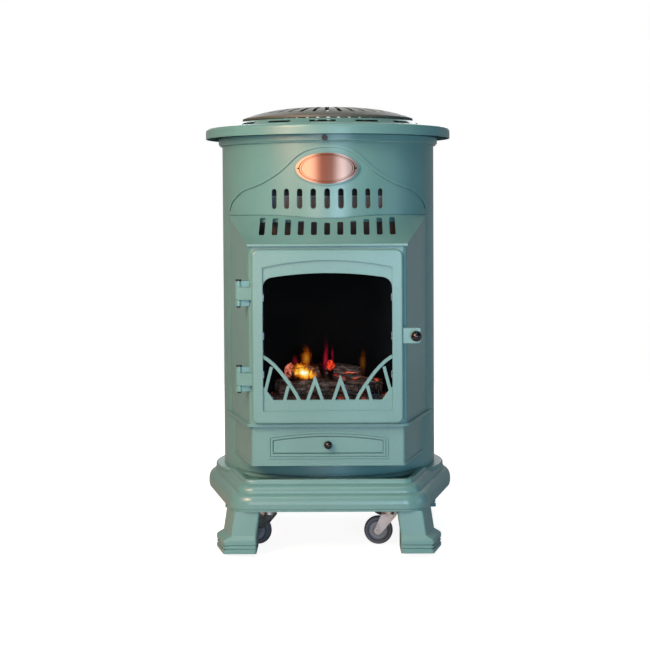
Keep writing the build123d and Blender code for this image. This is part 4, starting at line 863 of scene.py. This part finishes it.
# ======== Door glass ========
# A flat pane of heat-resisting ceramic glass with a very faint smoky tint, held against the rope
# by spring clips. It reflects at a slant and lets the light straight through.
ceramic_glass = bpy.data.materials.new("ceramic_glass")
ceramic_glass.use_nodes = True
glass_tree = ceramic_glass.node_tree
glass_tree.nodes.clear()
glass_place = add(glass_tree, "ShaderNodeTexCoord").outputs["Object"]
glass_haze = cloudy(glass_tree, glass_place, 45 * mm, detail=4)
glass_clear = add(
    glass_tree,
    "ShaderNodeBsdfTransparent",
    links={"Color": blended(glass_tree, glass_haze, "#dfe3e6", "#eef1f3")},
)
glass_shine = add(
    glass_tree,
    "ShaderNodeBsdfGlossy",
    links={"Roughness": ranged(glass_tree, glass_haze, 0.01, 0.06)},
)
glass_share = add(glass_tree, "ShaderNodeFresnel", {"IOR": 1.45})
glass_both = add(
    glass_tree,
    "ShaderNodeMixShader",
    links={0: glass_share.outputs[0], 1: glass_clear.outputs[0], 2: glass_shine.outputs[0]},
)
add(glass_tree, "ShaderNodeOutputMaterial", links={"Surface": glass_both.outputs[0]})
dress(ceramic_glass, "door_glass")


# ======== Rope seal ========
# Braided glass-fibre rope pressed into the door's back, off-white and matt, with its plait
# showing as slanted ridges. Its colour darkens into the furrows between the strands as painted
# shade.
plait_width = 1.8 * mm
rope, rope_tree, rope_shader, rope_place = surface(
    "glass_fibre_rope", {"Roughness": 0.95, "Sheen Weight": 0.3}
)
plait = 0.0
for turn in (radians(35), radians(-35)):
    laid = add(rope_tree, "ShaderNodeMapping", {"Rotation": (0, turn, 0)}, {"Vector": rope_place})
    strand = add(
        rope_tree,
        "ShaderNodeTexWave",
        {"Scale": 1 / plait_width / 6.28, "Distortion": 0.6},
        {"Vector": laid.outputs[0]},
        bands_direction="X",
    )
    plait = maths(rope_tree, "MAXIMUM", plait, strand.outputs["Fac"])
# Painted shade: the waves that raise the strands also darken the rope between them.
rope_with_furrow_shade = blended(rope_tree, plait, "#8f8c85", "#dad7cf")
rope_tree.links.new(rope_with_furrow_shade, rope_shader.inputs["Base Color"])
bumped(rope_tree, rope_shader, plait, 0.5 * mm)
dress(rope, "door_seal")


# ======== Screws and hinge pins ========
# Turned steel with black oxide: the collar's screws, the grille's posts, the door's hinge pins
# and the pilot, screwed or pressed in.
dress(dark_screw, "collar_screws", "grille_posts", "hinge_pins", "pilot_assembly")


# ======== Knobs and igniter ========
# Moulded knobs in glossy black phenolic, screwed on, with a small sharp highlight. The igniter's
# button and housing are the same black plastic.
phenolic, phenolic_tree, phenolic_shader, phenolic_place = surface("black_phenolic", {"IOR": 1.55})
phenolic_cloud = cloudy(phenolic_tree, phenolic_place, 4 * mm, detail=3)
phenolic_shade = blended(phenolic_tree, phenolic_cloud, "#08080a", "#131316")
phenolic_tree.links.new(phenolic_shade, phenolic_shader.inputs["Base Color"])
phenolic_gloss = ranged(phenolic_tree, phenolic_cloud, 0.10, 0.20)
phenolic_tree.links.new(phenolic_gloss, phenolic_shader.inputs["Roughness"])
dress(phenolic, "latch_knob", "flap_knob", "control_knob", "igniter_button", "igniter_housing")


# ======== Gas valve and pipe ========
# The valve and the hose tail are turned and forged brass, slightly tarnished, and the pipe to the
# burner is bent copper tube.
gas_brass = metal("forged_brass", "#a98a4a", "#c9ab69", 0.3, 5 * mm, 0.02 * mm)
dress(gas_brass, "valve_body", "hose_tail", "valve_spindle")
tube_copper = metal("drawn_copper_tube", "#b06a48", "#cf8f6c", 0.25, 5 * mm, 0.01 * mm)
dress(tube_copper, "gas_pipe")


# ======== Lid and collar ========
# The pressed collar closes the drum and the rolled-edge lid sits on it, both in the cabinet's
# powder coat, with a ring of vents in the lid's raised middle.
dress(sage_coat, "top_collar", "lid")


# ======== Top grille ========
# A fan of pressed ribs in a rolled rim, on posts over the vents, in a darker and duller
# heat-resisting grey green.
heat_coat = paint("grey_heat_coat", "#3f4843", "#4b544d", 0.5)
dress(heat_coat, "top_grille")
